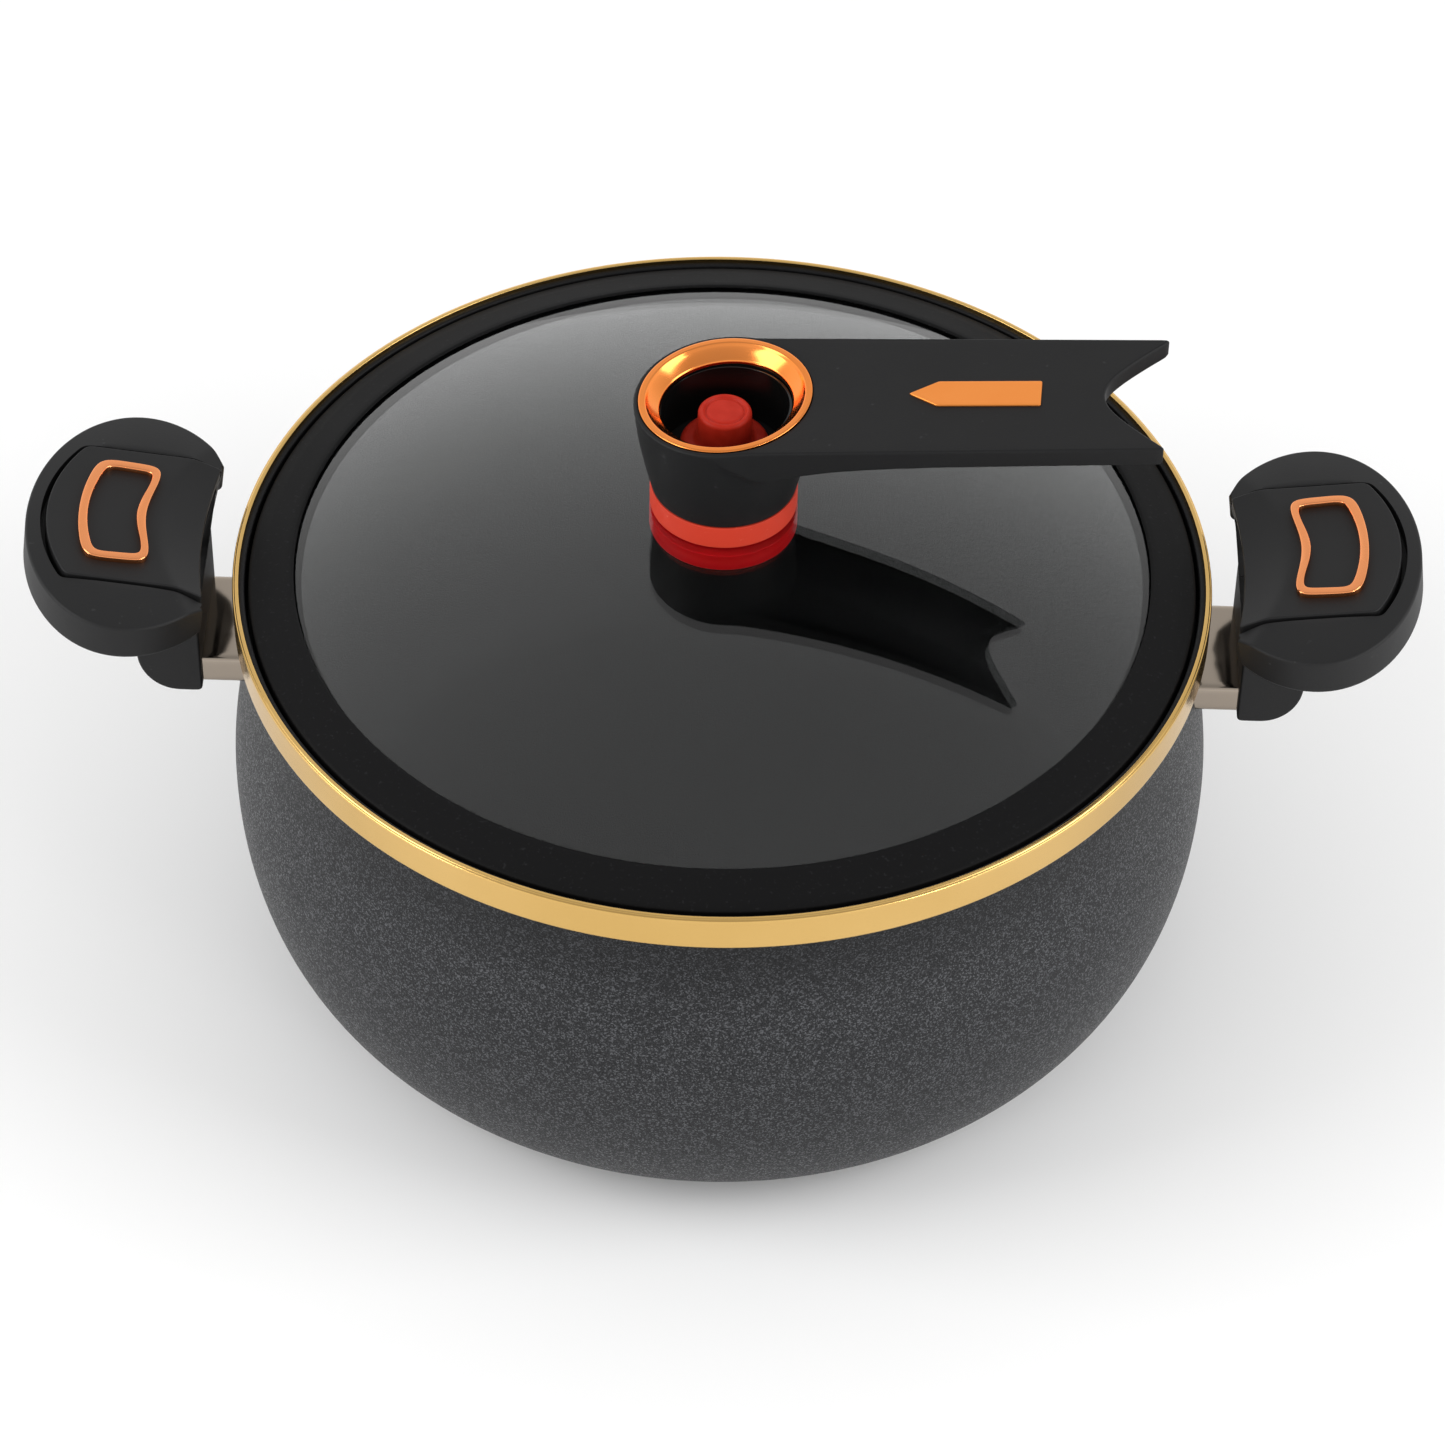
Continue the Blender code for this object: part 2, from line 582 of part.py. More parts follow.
def shell_outline():
    """The handle's plan: an ellipse whose pot side is cut off by an arc round the pot's axis."""
    outer = []
    steps = 26
    for i in range(steps + 1):
        angle = -pi / 2 + pi * i / steps
        outer.append((SHELL_CENTRE + SHELL_OUT * cos(angle), SHELL_HALF * sin(angle)))
    inner = []
    for i in range(1, 9):
        angle = pi / 2 + radians(52) * i / 8
        point = (SHELL_CENTRE + SHELL_IN * cos(angle), SHELL_HALF * sin(angle))
        if sqrt(point[0] ** 2 + point[1] ** 2) > SHELL_INNER_R + 1 * MM:
            inner.append(point)
    half = inner[-1][1] - 0.5 * MM
    other = [(x, -y) for x, y in reversed(inner)]
    return outer + inner + inner_arc(SHELL_INNER_R, half, 8) + other


def slab_outline(grow, reach, inner_radius):
    """The locking slab's plan: straight sides, a bowed outer end with round corners and an end that
    follows the rim. Grow widens it and reach lengthens it."""
    half, out = SLAB_HALF + grow, SLAB_OUT + reach
    centre = out - SLAB_END_R
    corner_y = half - SLAB_CORNER_R
    corner_x = centre + sqrt((SLAB_END_R - SLAB_CORNER_R) ** 2 - corner_y**2)
    turn = atan2(corner_y, corner_x - centre)
    points = arc((corner_x, -corner_y), SLAB_CORNER_R, -pi / 2, -turn, 3)
    points += arc((centre, 0), SLAB_END_R, -turn, turn, 12)[1:-1]
    points += arc((corner_x, corner_y), SLAB_CORNER_R, turn, pi / 2, 3)
    return points + inner_arc(inner_radius, half, 8)


def frame_outline(shrink):
    """The copper frame's plan: bowed inner and outer sides, straight ends and round corners."""
    out_x, in_x = FRAME_OUT - FRAME_OUT_BOW - shrink, FRAME_IN + shrink
    out_half, in_half = SLAB_HALF - FRAME_OUT_INSET - shrink, SLAB_HALF - FRAME_IN_INSET - shrink
    corner = max(FRAME_CORNER_R - shrink, 0.8 * MM)
    points = []
    steps = 8
    for i in range(steps + 1):
        share = 2 * i / steps - 1
        points.append((out_x + FRAME_OUT_BOW * (1 - share**2), share * (out_half - corner)))
    points += [(out_x - 0.35 * corner, out_half - 0.35 * corner), (out_x - 1.1 * corner, out_half)]
    points += [(in_x + corner, in_half), (in_x + 0.25 * corner, in_half - 0.3 * corner)]
    for i in range(steps + 1):
        share = 1 - 2 * i / steps
        points.append((in_x + FRAME_IN_BOW * (1 - share**2), share * (in_half - corner)))
    points += [(in_x + 0.25 * corner, -in_half + 0.3 * corner), (in_x + corner, -in_half)]
    points += [(out_x - 1.1 * corner, -out_half), (out_x - 0.35 * corner, -out_half + 0.35 * corner)]
    return points


def neck_outline():
    """The neck's side view, as (X, Z): flat towards the pot, rounded under the fingers, and with a top
    that follows the tilted grip."""
    round_x = NECK_OUT - NECK_ROUND_X
    round_z = NECK_BOTTOM + NECK_ROUND_Z
    under = (SHELL_BOTTOM - GAP) / cos(GRIP_TILT)
    top_in = under + (NECK_IN - SHELL_INNER_R) * tan(GRIP_TILT)
    top_out = under + (NECK_OUT - SHELL_INNER_R) * tan(GRIP_TILT)
    points = [(NECK_IN, top_in), (NECK_IN, NECK_BOTTOM)]
    for i in range(9):
        angle = -pi / 2 + pi / 2 * i / 8
        points.append((round_x + NECK_ROUND_X * cos(angle), round_z + NECK_ROUND_Z * sin(angle)))
    return points + [(NECK_OUT, top_out)]


def make_mounting(side, finishes, parent, grip):
    """The stud welded to the wall, the steel ferrule round it, the neck and the screw that holds them."""
    middle = FERRULE_TOP - FERRULE_H / 2
    wall_r = belly_radius(-FERRULE_TOP + FERRULE_H) + GAP
    half, top, bottom = FERRULE_HALF, FERRULE_TOP, FERRULE_TOP - FERRULE_H
    inner = wall_r - 12 * MM
    corners = (inner, -half, bottom), (FERRULE_END, half, top)
    ferrule = block(f"{side}_ferrule", *corners, finishes["steel"], parent)
    low = (inner - 5 * MM, FERRULE_T - half, bottom + FERRULE_T)
    high = (FERRULE_END + 5 * MM, half - FERRULE_T, top - FERRULE_T)
    change(ferrule, block(f"{side}_ferrule_hollow", low, high, parent=parent))
    wall = [(0, bottom - 9 * MM), (wall_r, bottom - 9 * MM), (wall_r, top + 9 * MM), (0, top + 9 * MM)]
    change(ferrule, turned(f"{side}_wall_tool", wall, parent=parent, segments=BIG_SEGMENTS))

    start = wall_r + GAP
    length = STUD_END - start
    stud = [(0, 0), (STUD_R, 0), (STUD_R, length), (STUD_HOLE_R, length)]
    stud += [(STUD_HOLE_R, STUD_FLOOR), (0, STUD_FLOOR)]
    lying(turned(f"{side}_weld_stud", stud, finishes["steel"], parent, SMALL_SEGMENTS), (start, 0, middle))

    bm = bmesh.new()
    face = bm.faces.new([bm.verts.new((x, -NECK_HALF, z)) for x, z in neck_outline()])
    raised = bmesh.ops.extrude_face_region(bm, geom=[face])
    far = [part for part in raised["geom"] if isinstance(part, bmesh.types.BMVert)]
    bmesh.ops.translate(bm, verts=far, vec=(0, 2 * NECK_HALF, 0))
    neck = as_object(f"{side}_handle_neck", bm, finishes["moulding"], parent)
    low = (NECK_IN - 5 * MM, -half - GAP, bottom - GAP)
    high = (FERRULE_END + GAP, half + GAP, top + GAP)
    change(neck, block(f"{side}_ferrule_socket", low, high, parent=parent))
    bore_r, head_r = SCREW_R + GAP, SCREW_HEAD_R + PLAY
    counter = SCREW_HEAD_X - GAP - (FERRULE_END - 2 * MM)
    bore = [(0, 0), (bore_r, 0), (bore_r, counter), (head_r, counter)]
    bore += [(head_r, counter + 14 * MM), (0, counter + 14 * MM)]
    cutter = turned(f"{side}_screw_bore", bore, parent=parent, segments=SMALL_SEGMENTS)
    change(neck, lying(cutter, (FERRULE_END - 2 * MM, 0, middle)))
    for y in (-SHELL_SCREW_Y, SHELL_SCREW_Y):
        depth = SHELL_SCREW_LENGTH + 2 * MM
        hole = [(0, -depth), (SHELL_SCREW_R + GAP, -depth), (SHELL_SCREW_R + GAP, 5 * MM), (0, 5 * MM)]
        tool = turned(f"{side}_neck_hole", hole, parent=grip, segments=SCREW_SEGMENTS)
        tool.location = (SHELL_SCREW_X, y, SHELL_BOTTOM)
        change(neck, tool)

    tip = STUD_END - SCREW_GRIP
    shank = SCREW_HEAD_X - tip
    screw = [(0, 0), (SCREW_R, 0), (SCREW_R, shank), (SCREW_HEAD_R, shank)]
    screw += [(SCREW_HEAD_R, shank + SCREW_HEAD_H * 0.6), (SCREW_HEAD_R * 0.6, shank + SCREW_HEAD_H)]
    screw += [(0, shank + SCREW_HEAD_H)]
    made = turned(f"{side}_handle_screw", screw, finishes["steel"], parent, SMALL_SEGMENTS)
    lying(made, (tip, 0, middle))


def make_shell(side, finishes, parent):
    """The grip with the channel that the lock slides in, and the two screws that hold it to the neck."""
    outline = shell_outline()
    shell = prism(f"{side}_handle_shell", outline, SHELL_BOTTOM, SHELL_TOP, finishes["moulding"], parent)
    channel = slab_outline(PLAY, SLAB_END_PLAY, SHELL_INNER_R - 10 * MM)
    ceiling = SLAB_TOP + 9 * MM
    slab_floor = TONGUE_TOP + PLAY / 2
    change(shell, prism(f"{side}_slab_channel", channel, slab_floor, ceiling, parent=parent))
    half = TONGUE_HALF + PLAY
    low = (SHELL_INNER_R - 30 * MM, -half, CHANNEL_FLOOR)
    high = (TONGUE_END + PLAY, half, slab_floor + 1 * MM)
    change(shell, block(f"{side}_tongue_channel", low, high, parent=parent))

    slot_half = SLIDE_SCREW_R + PLAY
    low = (SLIDE_SCREW_X - LOCK_TRAVEL - slot_half, -slot_half, SHELL_BOTTOM - 5 * MM)
    high = (SLIDE_SCREW_X + slot_half, slot_half, CHANNEL_FLOOR + 1 * MM)
    change(shell, block(f"{side}_screw_slot", low, high, parent=parent))
    half_x, half_y = KEEPER_HALF_X + PLAY, KEEPER_HALF_Y + PLAY
    low = (SLIDE_SCREW_X - LOCK_TRAVEL - half_x, -half_y, SHELL_BOTTOM - 5 * MM)
    high = (SLIDE_SCREW_X + half_x, half_y, WEB_BOTTOM)
    change(shell, block(f"{side}_keeper_recess", low, high, parent=parent))

    head_top = CHANNEL_FLOOR - GAP
    head_low = head_top - SHELL_SCREW_HEAD_H
    for word, y in (("front", -SHELL_SCREW_Y), ("back", SHELL_SCREW_Y)):
        hole_r, head_r = SHELL_SCREW_R + GAP, SHELL_SCREW_HEAD_R + GAP
        seat = head_low - GAP
        hole = [(0, SHELL_BOTTOM - 5 * MM), (hole_r, SHELL_BOTTOM - 5 * MM), (hole_r, seat), (head_r, seat)]
        hole += [(head_r, CHANNEL_FLOOR + 1 * MM), (0, CHANNEL_FLOOR + 1 * MM)]
        tool = turned(f"{side}_shell_hole_{word}", hole, parent=parent, segments=SCREW_SEGMENTS)
        tool.location = (SHELL_SCREW_X, y, 0)
        change(shell, tool)
        end = SHELL_BOTTOM - SHELL_SCREW_LENGTH
        screw = [(0, end), (SHELL_SCREW_R, end), (SHELL_SCREW_R, head_low), (SHELL_SCREW_HEAD_R, head_low)]
        screw += [(SHELL_SCREW_HEAD_R, head_top), (0, head_top)]
        made = turned(f"{side}_shell_screw_{word}", screw, finishes["steel"], parent, SCREW_SEGMENTS)
        made.location = (SHELL_SCREW_X, y, 0)


def make_lock(side, finishes, parent):
    """The sliding lock: the slab under the thumb with its frame, the steel tongue below it,
    and the screw and keeper that hold them to the shell. It is shown drawn back, unlocked."""
    outline = slab_outline(0, 0, SHELL_INNER_R)
    slab = prism(f"{side}_lock_slab", outline, TONGUE_TOP + PLAY, SLAB_TOP, finishes["moulding"], parent)
    hole_r = SLIDE_SCREW_R + GAP
    screw_top = SLAB_TOP - 3.4 * MM
    low, high = SHELL_BOTTOM - 5 * MM, screw_top + GAP
    hole = [(0, low), (hole_r, low), (hole_r, high), (0, high)]
    slab_hole = turned(f"{side}_slab_hole", hole, parent=parent, segments=SMALL_SEGMENTS)
    slab_hole.location.x = SLIDE_SCREW_X
    change(slab, slab_hole)

    foot = SLAB_TOP + GAP
    outside, inside = frame_outline(0), frame_outline(FRAME_W)
    frame = prism(f"{side}_slab_frame", outside, foot, foot + FRAME_T, finishes["copper"], parent)
    change(frame, prism(f"{side}_frame_window", inside, foot - 2 * MM, foot + 9 * MM, parent=parent))

    edge = inner_arc(SHELL_INNER_R + GAP, TONGUE_HALF, 8)
    plan = [(TONGUE_END, -TONGUE_HALF + 4 * MM), (TONGUE_END, TONGUE_HALF - 4 * MM)]
    plan += [(TONGUE_END - 4 * MM, TONGUE_HALF)] + edge + [(TONGUE_END - 4 * MM, -TONGUE_HALF)]
    tongue = prism(f"{side}_lock_tongue", plan, TONGUE_BOTTOM, TONGUE_TOP, finishes["steel"], parent)
    change(tongue, slab_hole)

    keeper_top = WEB_BOTTOM - GAP
    keeper_low = keeper_top - KEEPER_T
    low = (SLIDE_SCREW_X - KEEPER_HALF_X, -KEEPER_HALF_Y, keeper_low)
    high = (SLIDE_SCREW_X + KEEPER_HALF_X, KEEPER_HALF_Y, keeper_top)
    keeper = block(f"{side}_slide_keeper", low, high, finishes["steel"], parent)
    change(keeper, slab_hole)

    head_top = keeper_low - 0.15 * MM
    head_low = head_top - SLIDE_HEAD_H
    screw = [(0, head_low), (SLIDE_HEAD_R, head_low), (SLIDE_HEAD_R, head_top), (SLIDE_SCREW_R, head_top)]
    screw += [(SLIDE_SCREW_R, screw_top), (0, screw_top)]
    made = turned(f"{side}_slide_screw", screw, finishes["steel"], parent, SMALL_SEGMENTS)
    made.location.x = SLIDE_SCREW_X


def make_finishes():
    return {
        "coating": material("coating", (0.055, 0.057, 0.062), 0.42, 0.3),
        "gold": material("gold", (0.85, 0.58, 0.20), 0.22, 1.0),
        "steel": material("steel", (0.62, 0.60, 0.57), 0.22, 1.0),
        "glass": material("glass", (0.10, 0.10, 0.11), 0.04),
        "silicone_black": material("silicone_black", (0.018, 0.018, 0.019), 0.55),
        "silicone_red": material("silicone_red", (0.62, 0.035, 0.012), 0.45),
        "moulding": material("moulding", (0.020, 0.020, 0.021), 0.48),
        "gloss_black": material("gloss_black", (0.008, 0.008, 0.008), 0.10),
        "copper": material("copper", (0.90, 0.36, 0.13), 0.14, 1.0),
    }


def main():
    clear_scene()
    finishes = make_finishes()
    make_pot(finishes)
    lid = empty("lid_axis", (0, 0, RIM_Z), (0, 0, LID_TURN))
    make_lid(finishes, lid)
    make_lid_handle(finishes, lid)
    make_valve(finishes, lid)
    for side, turn in (("right", 0), ("left", pi)):
        parent = empty(f"{side}_side", (0, 0, RIM_Z), (0, 0, turn))
        pivot = SHELL_INNER_R
        place = (pivot * (1 - cos(GRIP_TILT)), 0, -pivot * sin(GRIP_TILT))
        grip = empty(f"{side}_grip", place, (0, -GRIP_TILT, 0), parent)
        make_mounting(side, finishes, parent, grip)
        make_shell(side, finishes, grip)
        make_lock(side, finishes, grip)


main()
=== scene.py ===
"""Looks for the low-pressure stock pot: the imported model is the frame, and every visible piece is
worked out again as a smooth surface with its own finish. Sizes are in metres, +Z is up, and the side
handles lie along X."""

import math

import bmesh
import bpy
import numpy as np
from mathutils import Matrix, Vector


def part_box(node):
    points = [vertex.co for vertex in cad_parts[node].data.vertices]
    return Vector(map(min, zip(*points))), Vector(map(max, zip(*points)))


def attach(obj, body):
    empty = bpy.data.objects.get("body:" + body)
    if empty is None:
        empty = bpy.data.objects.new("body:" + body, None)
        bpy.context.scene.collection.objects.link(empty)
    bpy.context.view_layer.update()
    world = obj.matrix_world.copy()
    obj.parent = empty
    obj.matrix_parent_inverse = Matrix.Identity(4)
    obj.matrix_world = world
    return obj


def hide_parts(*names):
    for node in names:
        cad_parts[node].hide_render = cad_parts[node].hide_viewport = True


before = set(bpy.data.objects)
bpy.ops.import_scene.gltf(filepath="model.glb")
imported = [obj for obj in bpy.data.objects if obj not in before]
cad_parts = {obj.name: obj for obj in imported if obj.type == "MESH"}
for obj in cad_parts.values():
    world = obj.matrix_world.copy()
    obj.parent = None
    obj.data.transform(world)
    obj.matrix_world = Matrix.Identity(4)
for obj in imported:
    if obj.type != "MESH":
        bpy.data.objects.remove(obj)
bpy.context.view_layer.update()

MM = 0.001
TAU = 2 * math.pi

# --------------------------------------------------------------------------------------------------
# Camera: a long lens 1.4 m from the middle of the pot's mouth, looking down on it.
# It aims a little below the mouth and is turned slightly about its own axis.

mouth = Vector((0, 0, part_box("rim_band")[1].z))
stand_off, swing, height_angle, aim_below, lean = 1.400, 1.1, 42.62, 1.76, 0.93
a, e = math.radians(swing), math.radians(height_angle)
back = Vector((math.sin(a) * math.cos(e), -math.cos(a) * math.cos(e), math.sin(e)))
right = Vector((math.cos(a), math.sin(a), 0))
upright = back.cross(right)
turn = math.radians(lean)
right, upright = (
    right * math.cos(turn) + upright * math.sin(turn),
    upright * math.cos(turn) - right * math.sin(turn),
)
dip = math.radians(aim_below)
ahead = -back * math.cos(dip) - upright * math.sin(dip)
upright = upright * math.cos(dip) - back * math.sin(dip)
camera = bpy.data.objects.new("camera", bpy.data.cameras.new("camera"))
camera.data.lens, camera.data.sensor_width = 127.3, 36
camera.matrix_world = Matrix.Translation(mouth + back * stand_off) @ Matrix(
    (
        (right.x, upright.x, -ahead.x, 0),
        (right.y, upright.y, -ahead.y, 0),
        (right.z, upright.z, -ahead.z, 0),
        (0, 0, 0, 1),
    )
)
bpy.context.scene.collection.objects.link(camera)
bpy.context.scene.camera = camera

# --------------------------------------------------------------------------------------------------
# Pot body: drawn aluminium with a satin charcoal non-stick coat, full of fine light flecks.
# The wall is nearly straight below the band, swells to a belly and rounds in to a flat foot.


def softened(points, radius, steps=6, closed=False):
    """Rounds each corner of a line. Between the two points that lie radius (or just under half an
    edge) away from a corner along its edges runs a quadratic curve that the corner pulls on."""
    p = np.asarray(points, float)
    radius = np.broadcast_to(np.asarray(radius, float), (len(p),))
    before, after = np.roll(p, 1, 0) - p, np.roll(p, -1, 0) - p
    to_before, to_after = np.linalg.norm(before, axis=1), np.linalg.norm(after, axis=1)
    a = p + before * (np.minimum(radius, 0.48 * to_before) / np.maximum(to_before, 1e-12))[:, None]
    b = p + after * (np.minimum(radius, 0.48 * to_after) / np.maximum(to_after, 1e-12))[:, None]
    if not closed:
        a[0] = b[0] = p[0]
        a[-1] = b[-1] = p[-1]
    t = np.linspace(0, 1, steps + 1)[None, :, None]
    curve = (1 - t) ** 2 * a[:, None] + 2 * t * (1 - t) * p[:, None] + t**2 * b[:, None]
    line = curve.reshape(-1, p.shape[1])
    apart = np.linalg.norm(line - np.roll(line, 1, 0), axis=1) > 1e-7
    if not closed:
        apart[0] = True
    return line[apart]


def closed_surface(name, grid, body, material, stands_for=(), round_rows=True, round_columns=False):
    """A mesh over a grid of points. Rows and columns may join up end to end, and a row or column
    that shrinks to a point closes a pole. Doubles are merged, and faces then point outwards."""
    rows, columns = grid.shape[:2]
    r = np.arange(rows if round_columns else rows - 1)
    c = np.arange(columns if round_rows else columns - 1)
    r, c = (x.ravel() for x in np.meshgrid(r, c, indexing="ij"))
    r2, c2 = (r + 1) % rows, (c + 1) % columns
    quads = np.stack([r * columns + c, r * columns + c2, r2 * columns + c2, r2 * columns + c], 1)
    mesh = bpy.data.meshes.new(name)
    mesh.from_pydata(grid.reshape(-1, 3), [], quads)
    bm = bmesh.new()
    bm.from_mesh(mesh)
    bmesh.ops.remove_doubles(bm, verts=bm.verts, dist=2e-6)
    bmesh.ops.dissolve_degenerate(bm, edges=bm.edges, dist=1e-6)
    bmesh.ops.recalc_face_normals(bm, faces=bm.faces)
    bm.to_mesh(mesh)
    bm.free()
    mesh.shade_smooth()
    mesh.set_sharp_from_angle(angle=math.radians(50))
    piece = bpy.data.objects.new(name, mesh)
    bpy.context.scene.collection.objects.link(piece)
    piece.data.materials.append(material)
    evened = piece.modifiers.new("even shading", "WEIGHTED_NORMAL")
    evened.keep_sharp = True
    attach(piece, body)
    if stands_for:
        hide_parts(*stands_for)
    return piece


def turned(profile, around=192):
    """The grid of a turned piece: a line of (radius, height) carried round the Z axis."""
    profile = np.asarray(profile, float)
    angle = np.linspace(0, TAU, around, endpoint=False)
    r, z = profile[:, :1], profile[:, 1:]
    return np.stack([r * np.cos(angle), r * np.sin(angle), z + 0 * angle], -1)


class Wire:
    """A socket that ordinary Python can add, take away, multiply and raise to a power."""

    def __init__(self, tree, socket):
        self.tree, self.socket = tree, socket

    def node(self, kind, settings=None, **inputs):
        """Adds a node. Settings are its own properties or a ramp's stops; inputs are values or wires
        by socket name, with _ for a space, or by number as in0, in1."""
        made = self.tree.nodes.new("ShaderNode" + kind)
        for key, value in (settings or {}).items():
            if key == "stops":
                ramp = made.color_ramp
                while len(ramp.elements) < len(value):
                    ramp.elements.new(0.5)
                for element, (place, colour) in zip(ramp.elements, value):
                    element.position, element.color = place, (*colour, 1) if len(colour) == 3 else colour
            else:
                setattr(made, key, value)
        for key, value in inputs.items():
            index = int(key[2:]) if key[:2] == "in" and key[2:].isdigit() else key.replace("_", " ")
            if isinstance(value, Wire):
                self.tree.links.new(value.socket, made.inputs[index])
            else:
                made.inputs[index].default_value = value
        return Wire(self.tree, next(s for s in made.outputs if s.enabled))

    def output(self, name):
        return Wire(self.tree, self.socket.node.outputs[name])

    def maths(self, operation, *values):
        return self.node("Math", {"operation": operation}, **{f"in{i}": v for i, v in enumerate(values)})

    def __add__(self, other):
        return self.maths("ADD", self, other)

    def __mul__(self, other):
        return self.maths("MULTIPLY", self, other)

    def __sub__(self, other):
        return self.maths("SUBTRACT", self, other)

    def __rsub__(self, other):
        return self.maths("SUBTRACT", other, self)

    def __pow__(self, other):
        return self.maths("POWER", self, other)

    __radd__, __rmul__ = __add__, __mul__

    def between(self, low, high, start=0.0, end=1.0):
        """Carries low..high onto start..end, smoothly and without going past either."""
        settings = {"interpolation_type": "SMOOTHSTEP"}
        return self.node("MapRange", settings, Value=self, in1=low, in2=high, in3=start, in4=end)

    def blend(self, first, second):
        """A mix of two colours, by this share."""
        mixed = self.node("Mix", {"data_type": "RGBA"}, in0=self, in6=first, in7=second)
        return Wire(self.tree, mixed.socket.node.outputs[2])


def finish(name, colour, roughness, metallic=0.0, **plain):
    """A Principled material. Returns it with its shader and a wire of Object coordinates. Plain
    values go straight onto the shader's sockets."""
    made = bpy.data.materials.new(name)
    made.use_nodes = True
    tree = made.node_tree
    shader = tree.nodes["Principled BSDF"]
    plain = {"Base_Color": (*colour, 1), "Roughness": roughness, "Metallic": metallic, **plain}
    for key, value in plain.items():
        shader.inputs[key.replace("_", " ")].default_value = value
    place = tree.nodes.new("ShaderNodeTexCoord").outputs["Object"]
    return made, shader, Wire(tree, place)


def feed(shader, socket, wire):
    """Joins a wire to one of the shader's sockets."""
    wire.tree.links.new(wire.socket, shader.inputs[socket])


def noise(place, scale, detail=2.0, rough=0.5):
    """Perlin noise over Object coordinates."""
    return place.node("TexNoise", None, Vector=place, Scale=scale, Detail=detail, Roughness=rough)


def bump(place, height, distance, strength=1.0):
    """A normal bent by a height, which stands for a relief of the given distance."""
    return place.node("Bump", None, Height=height, Distance=distance, Strength=strength)


coating, shader, place = finish("charcoal coating", (0.02, 0.02, 0.022), 0.44, 0.0, Specular_IOR_Level=0.16)
fleck_cells = place.node("TexVoronoi", {"feature": "F1"}, Vector=place, Scale=2600.0).output("Color")
fleck_pick = place.node("SeparateColor", None, Color=fleck_cells)
fleck = fleck_pick.between(0.45, 1.0) ** 2.2
fine = noise(place, 3800.0, 1.0)
cloud = noise(place, 26.0, 3.0)
shade = fleck * 0.85 + fine.between(0.35, 0.75) * 0.25
spot = place.node("SeparateXYZ", None, Vector=place)
flat_spot = place.node("CombineXYZ", None, X=spot.output("X"), Y=spot.output("Y"))
outward = place.node("VectorMath", {"operation": "NORMALIZE"}, in0=flat_spot)
outward = place.node("VectorMath", {"operation": "ADD"}, in0=outward, in1=(0, 0, -0.5))
facing = Wire(place.tree, place.tree.nodes.new("ShaderNodeNewGeometry").outputs["Normal"])
outside = place.node("VectorMath", {"operation": "DOT_PRODUCT"}, in0=outward, in1=facing).output("Value")
outside = outside.between(-0.05, 0.05)
flecked = shade.blend((0.0070, 0.0072, 0.0081, 1), (0.118, 0.121, 0.129, 1))
# Painted shade: the outer coat is darkened towards the top of the wall, under the rim band, where shade
# falls.
painted_neck_shade = spot.output("Z").between(0.088, 0.116) * 0.72
flecked = painted_neck_shade.blend(flecked, shade.blend((0.0025, 0.0026, 0.0030, 1), (0.045, 0.046, 0.050, 1)))
# Inside the wall the coat is plain, without flecks, and its very dark colour is also painted shade for the
# inside of the covered pot.
feed(shader, "Base Color", outside.blend((0.0055, 0.0055, 0.0060, 1), flecked))
feed(shader, "Metallic", fleck.between(0.2, 0.9) * 0.85 * outside)
feed(shader, "Roughness", 0.46 - fleck * 0.14 + cloud * 0.05)
feed(shader, "Normal", bump(place, fleck_pick.output("Green") * 0.6 + fine * 0.4, 0.00018, 0.6))

rim = mouth.z
band_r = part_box("rim_band")[1].x
body_low, body_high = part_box("pot_body")
plate_r, plate_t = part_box("base_plate")[1].x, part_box("base_plate")[1].z
belly_r, foot_z = body_high.x, body_low.z
collar_r, ledge_z = band_r - 1.2 * MM, rim - 8.5 * MM
neck_r, neck_z, belly_z, foot_r = belly_r - 6.4 * MM, rim - 11.5 * MM, rim - 66 * MM, plate_r + 9 * MM
wall, floor_z = 2.8 * MM, foot_z + plate_t + 4 * MM

swell = np.linspace(0, 1, 28)
upper_r = neck_r + (belly_r - neck_r) * (1 - np.cos(np.pi * swell)) / 2
upper = np.stack([upper_r, neck_z + (belly_z - neck_z) * swell], 1)
t = np.linspace(0, math.pi / 2, 36)[1:]
fuller = 2 / 2.15
lower_r = foot_r + (belly_r - foot_r) * np.cos(t).clip(0) ** fuller
lower = np.stack([lower_r, belly_z - (belly_z - foot_z) * np.sin(t) ** fuller], 1)
outer_wall = np.concatenate([upper, lower])
along = np.gradient(outer_wall, axis=0)
along /= np.linalg.norm(along, axis=1)[:, None]
inner_wall = outer_wall + np.stack([along[:, 1], -along[:, 0]], 1) * wall
inner_wall = inner_wall[(inner_wall[:, 1] > floor_z + 3 * MM) & (inner_wall[:, 1] < ledge_z - 2 * MM)]
head = softened(
    [
        outer_wall[0],
        (collar_r, rim - 10.5 * MM),
        (collar_r, rim - 1.2 * MM),
        (collar_r - 2.2 * MM, rim - 1.2 * MM),
        (collar_r - 2.2 * MM, ledge_z),
        (neck_r - wall, ledge_z),
        inner_wall[0],
    ],
    1.0 * MM,
)
sole = softened(
    [
        inner_wall[-1],
        (inner_wall[-1][0] - 7 * MM, floor_z),
        (0.3 * MM, floor_z),
    ],
    6 * MM,
)
foot = softened(
    [
        (0, plate_t + 0.3 * MM),
        (plate_r + 0.3 * MM, plate_t + 0.3 * MM),
        (plate_r + 0.3 * MM, foot_z),
        (foot_r - 1 * MM, foot_z),
        outer_wall[-2],
    ],
    0.8 * MM,
)
profile = np.concatenate([foot, outer_wall[-3::-1], head[1:], inner_wall[1:], sole[1:], [(0, floor_z)]])
closed_surface("pot_body_skin", turned(profile, 240), "pot", coating, ["pot_body"])

# --------------------------------------------------------------------------------------------------
# Induction plate: a disc of ferritic steel let into the foot, faced on a lathe so that fine rings show.

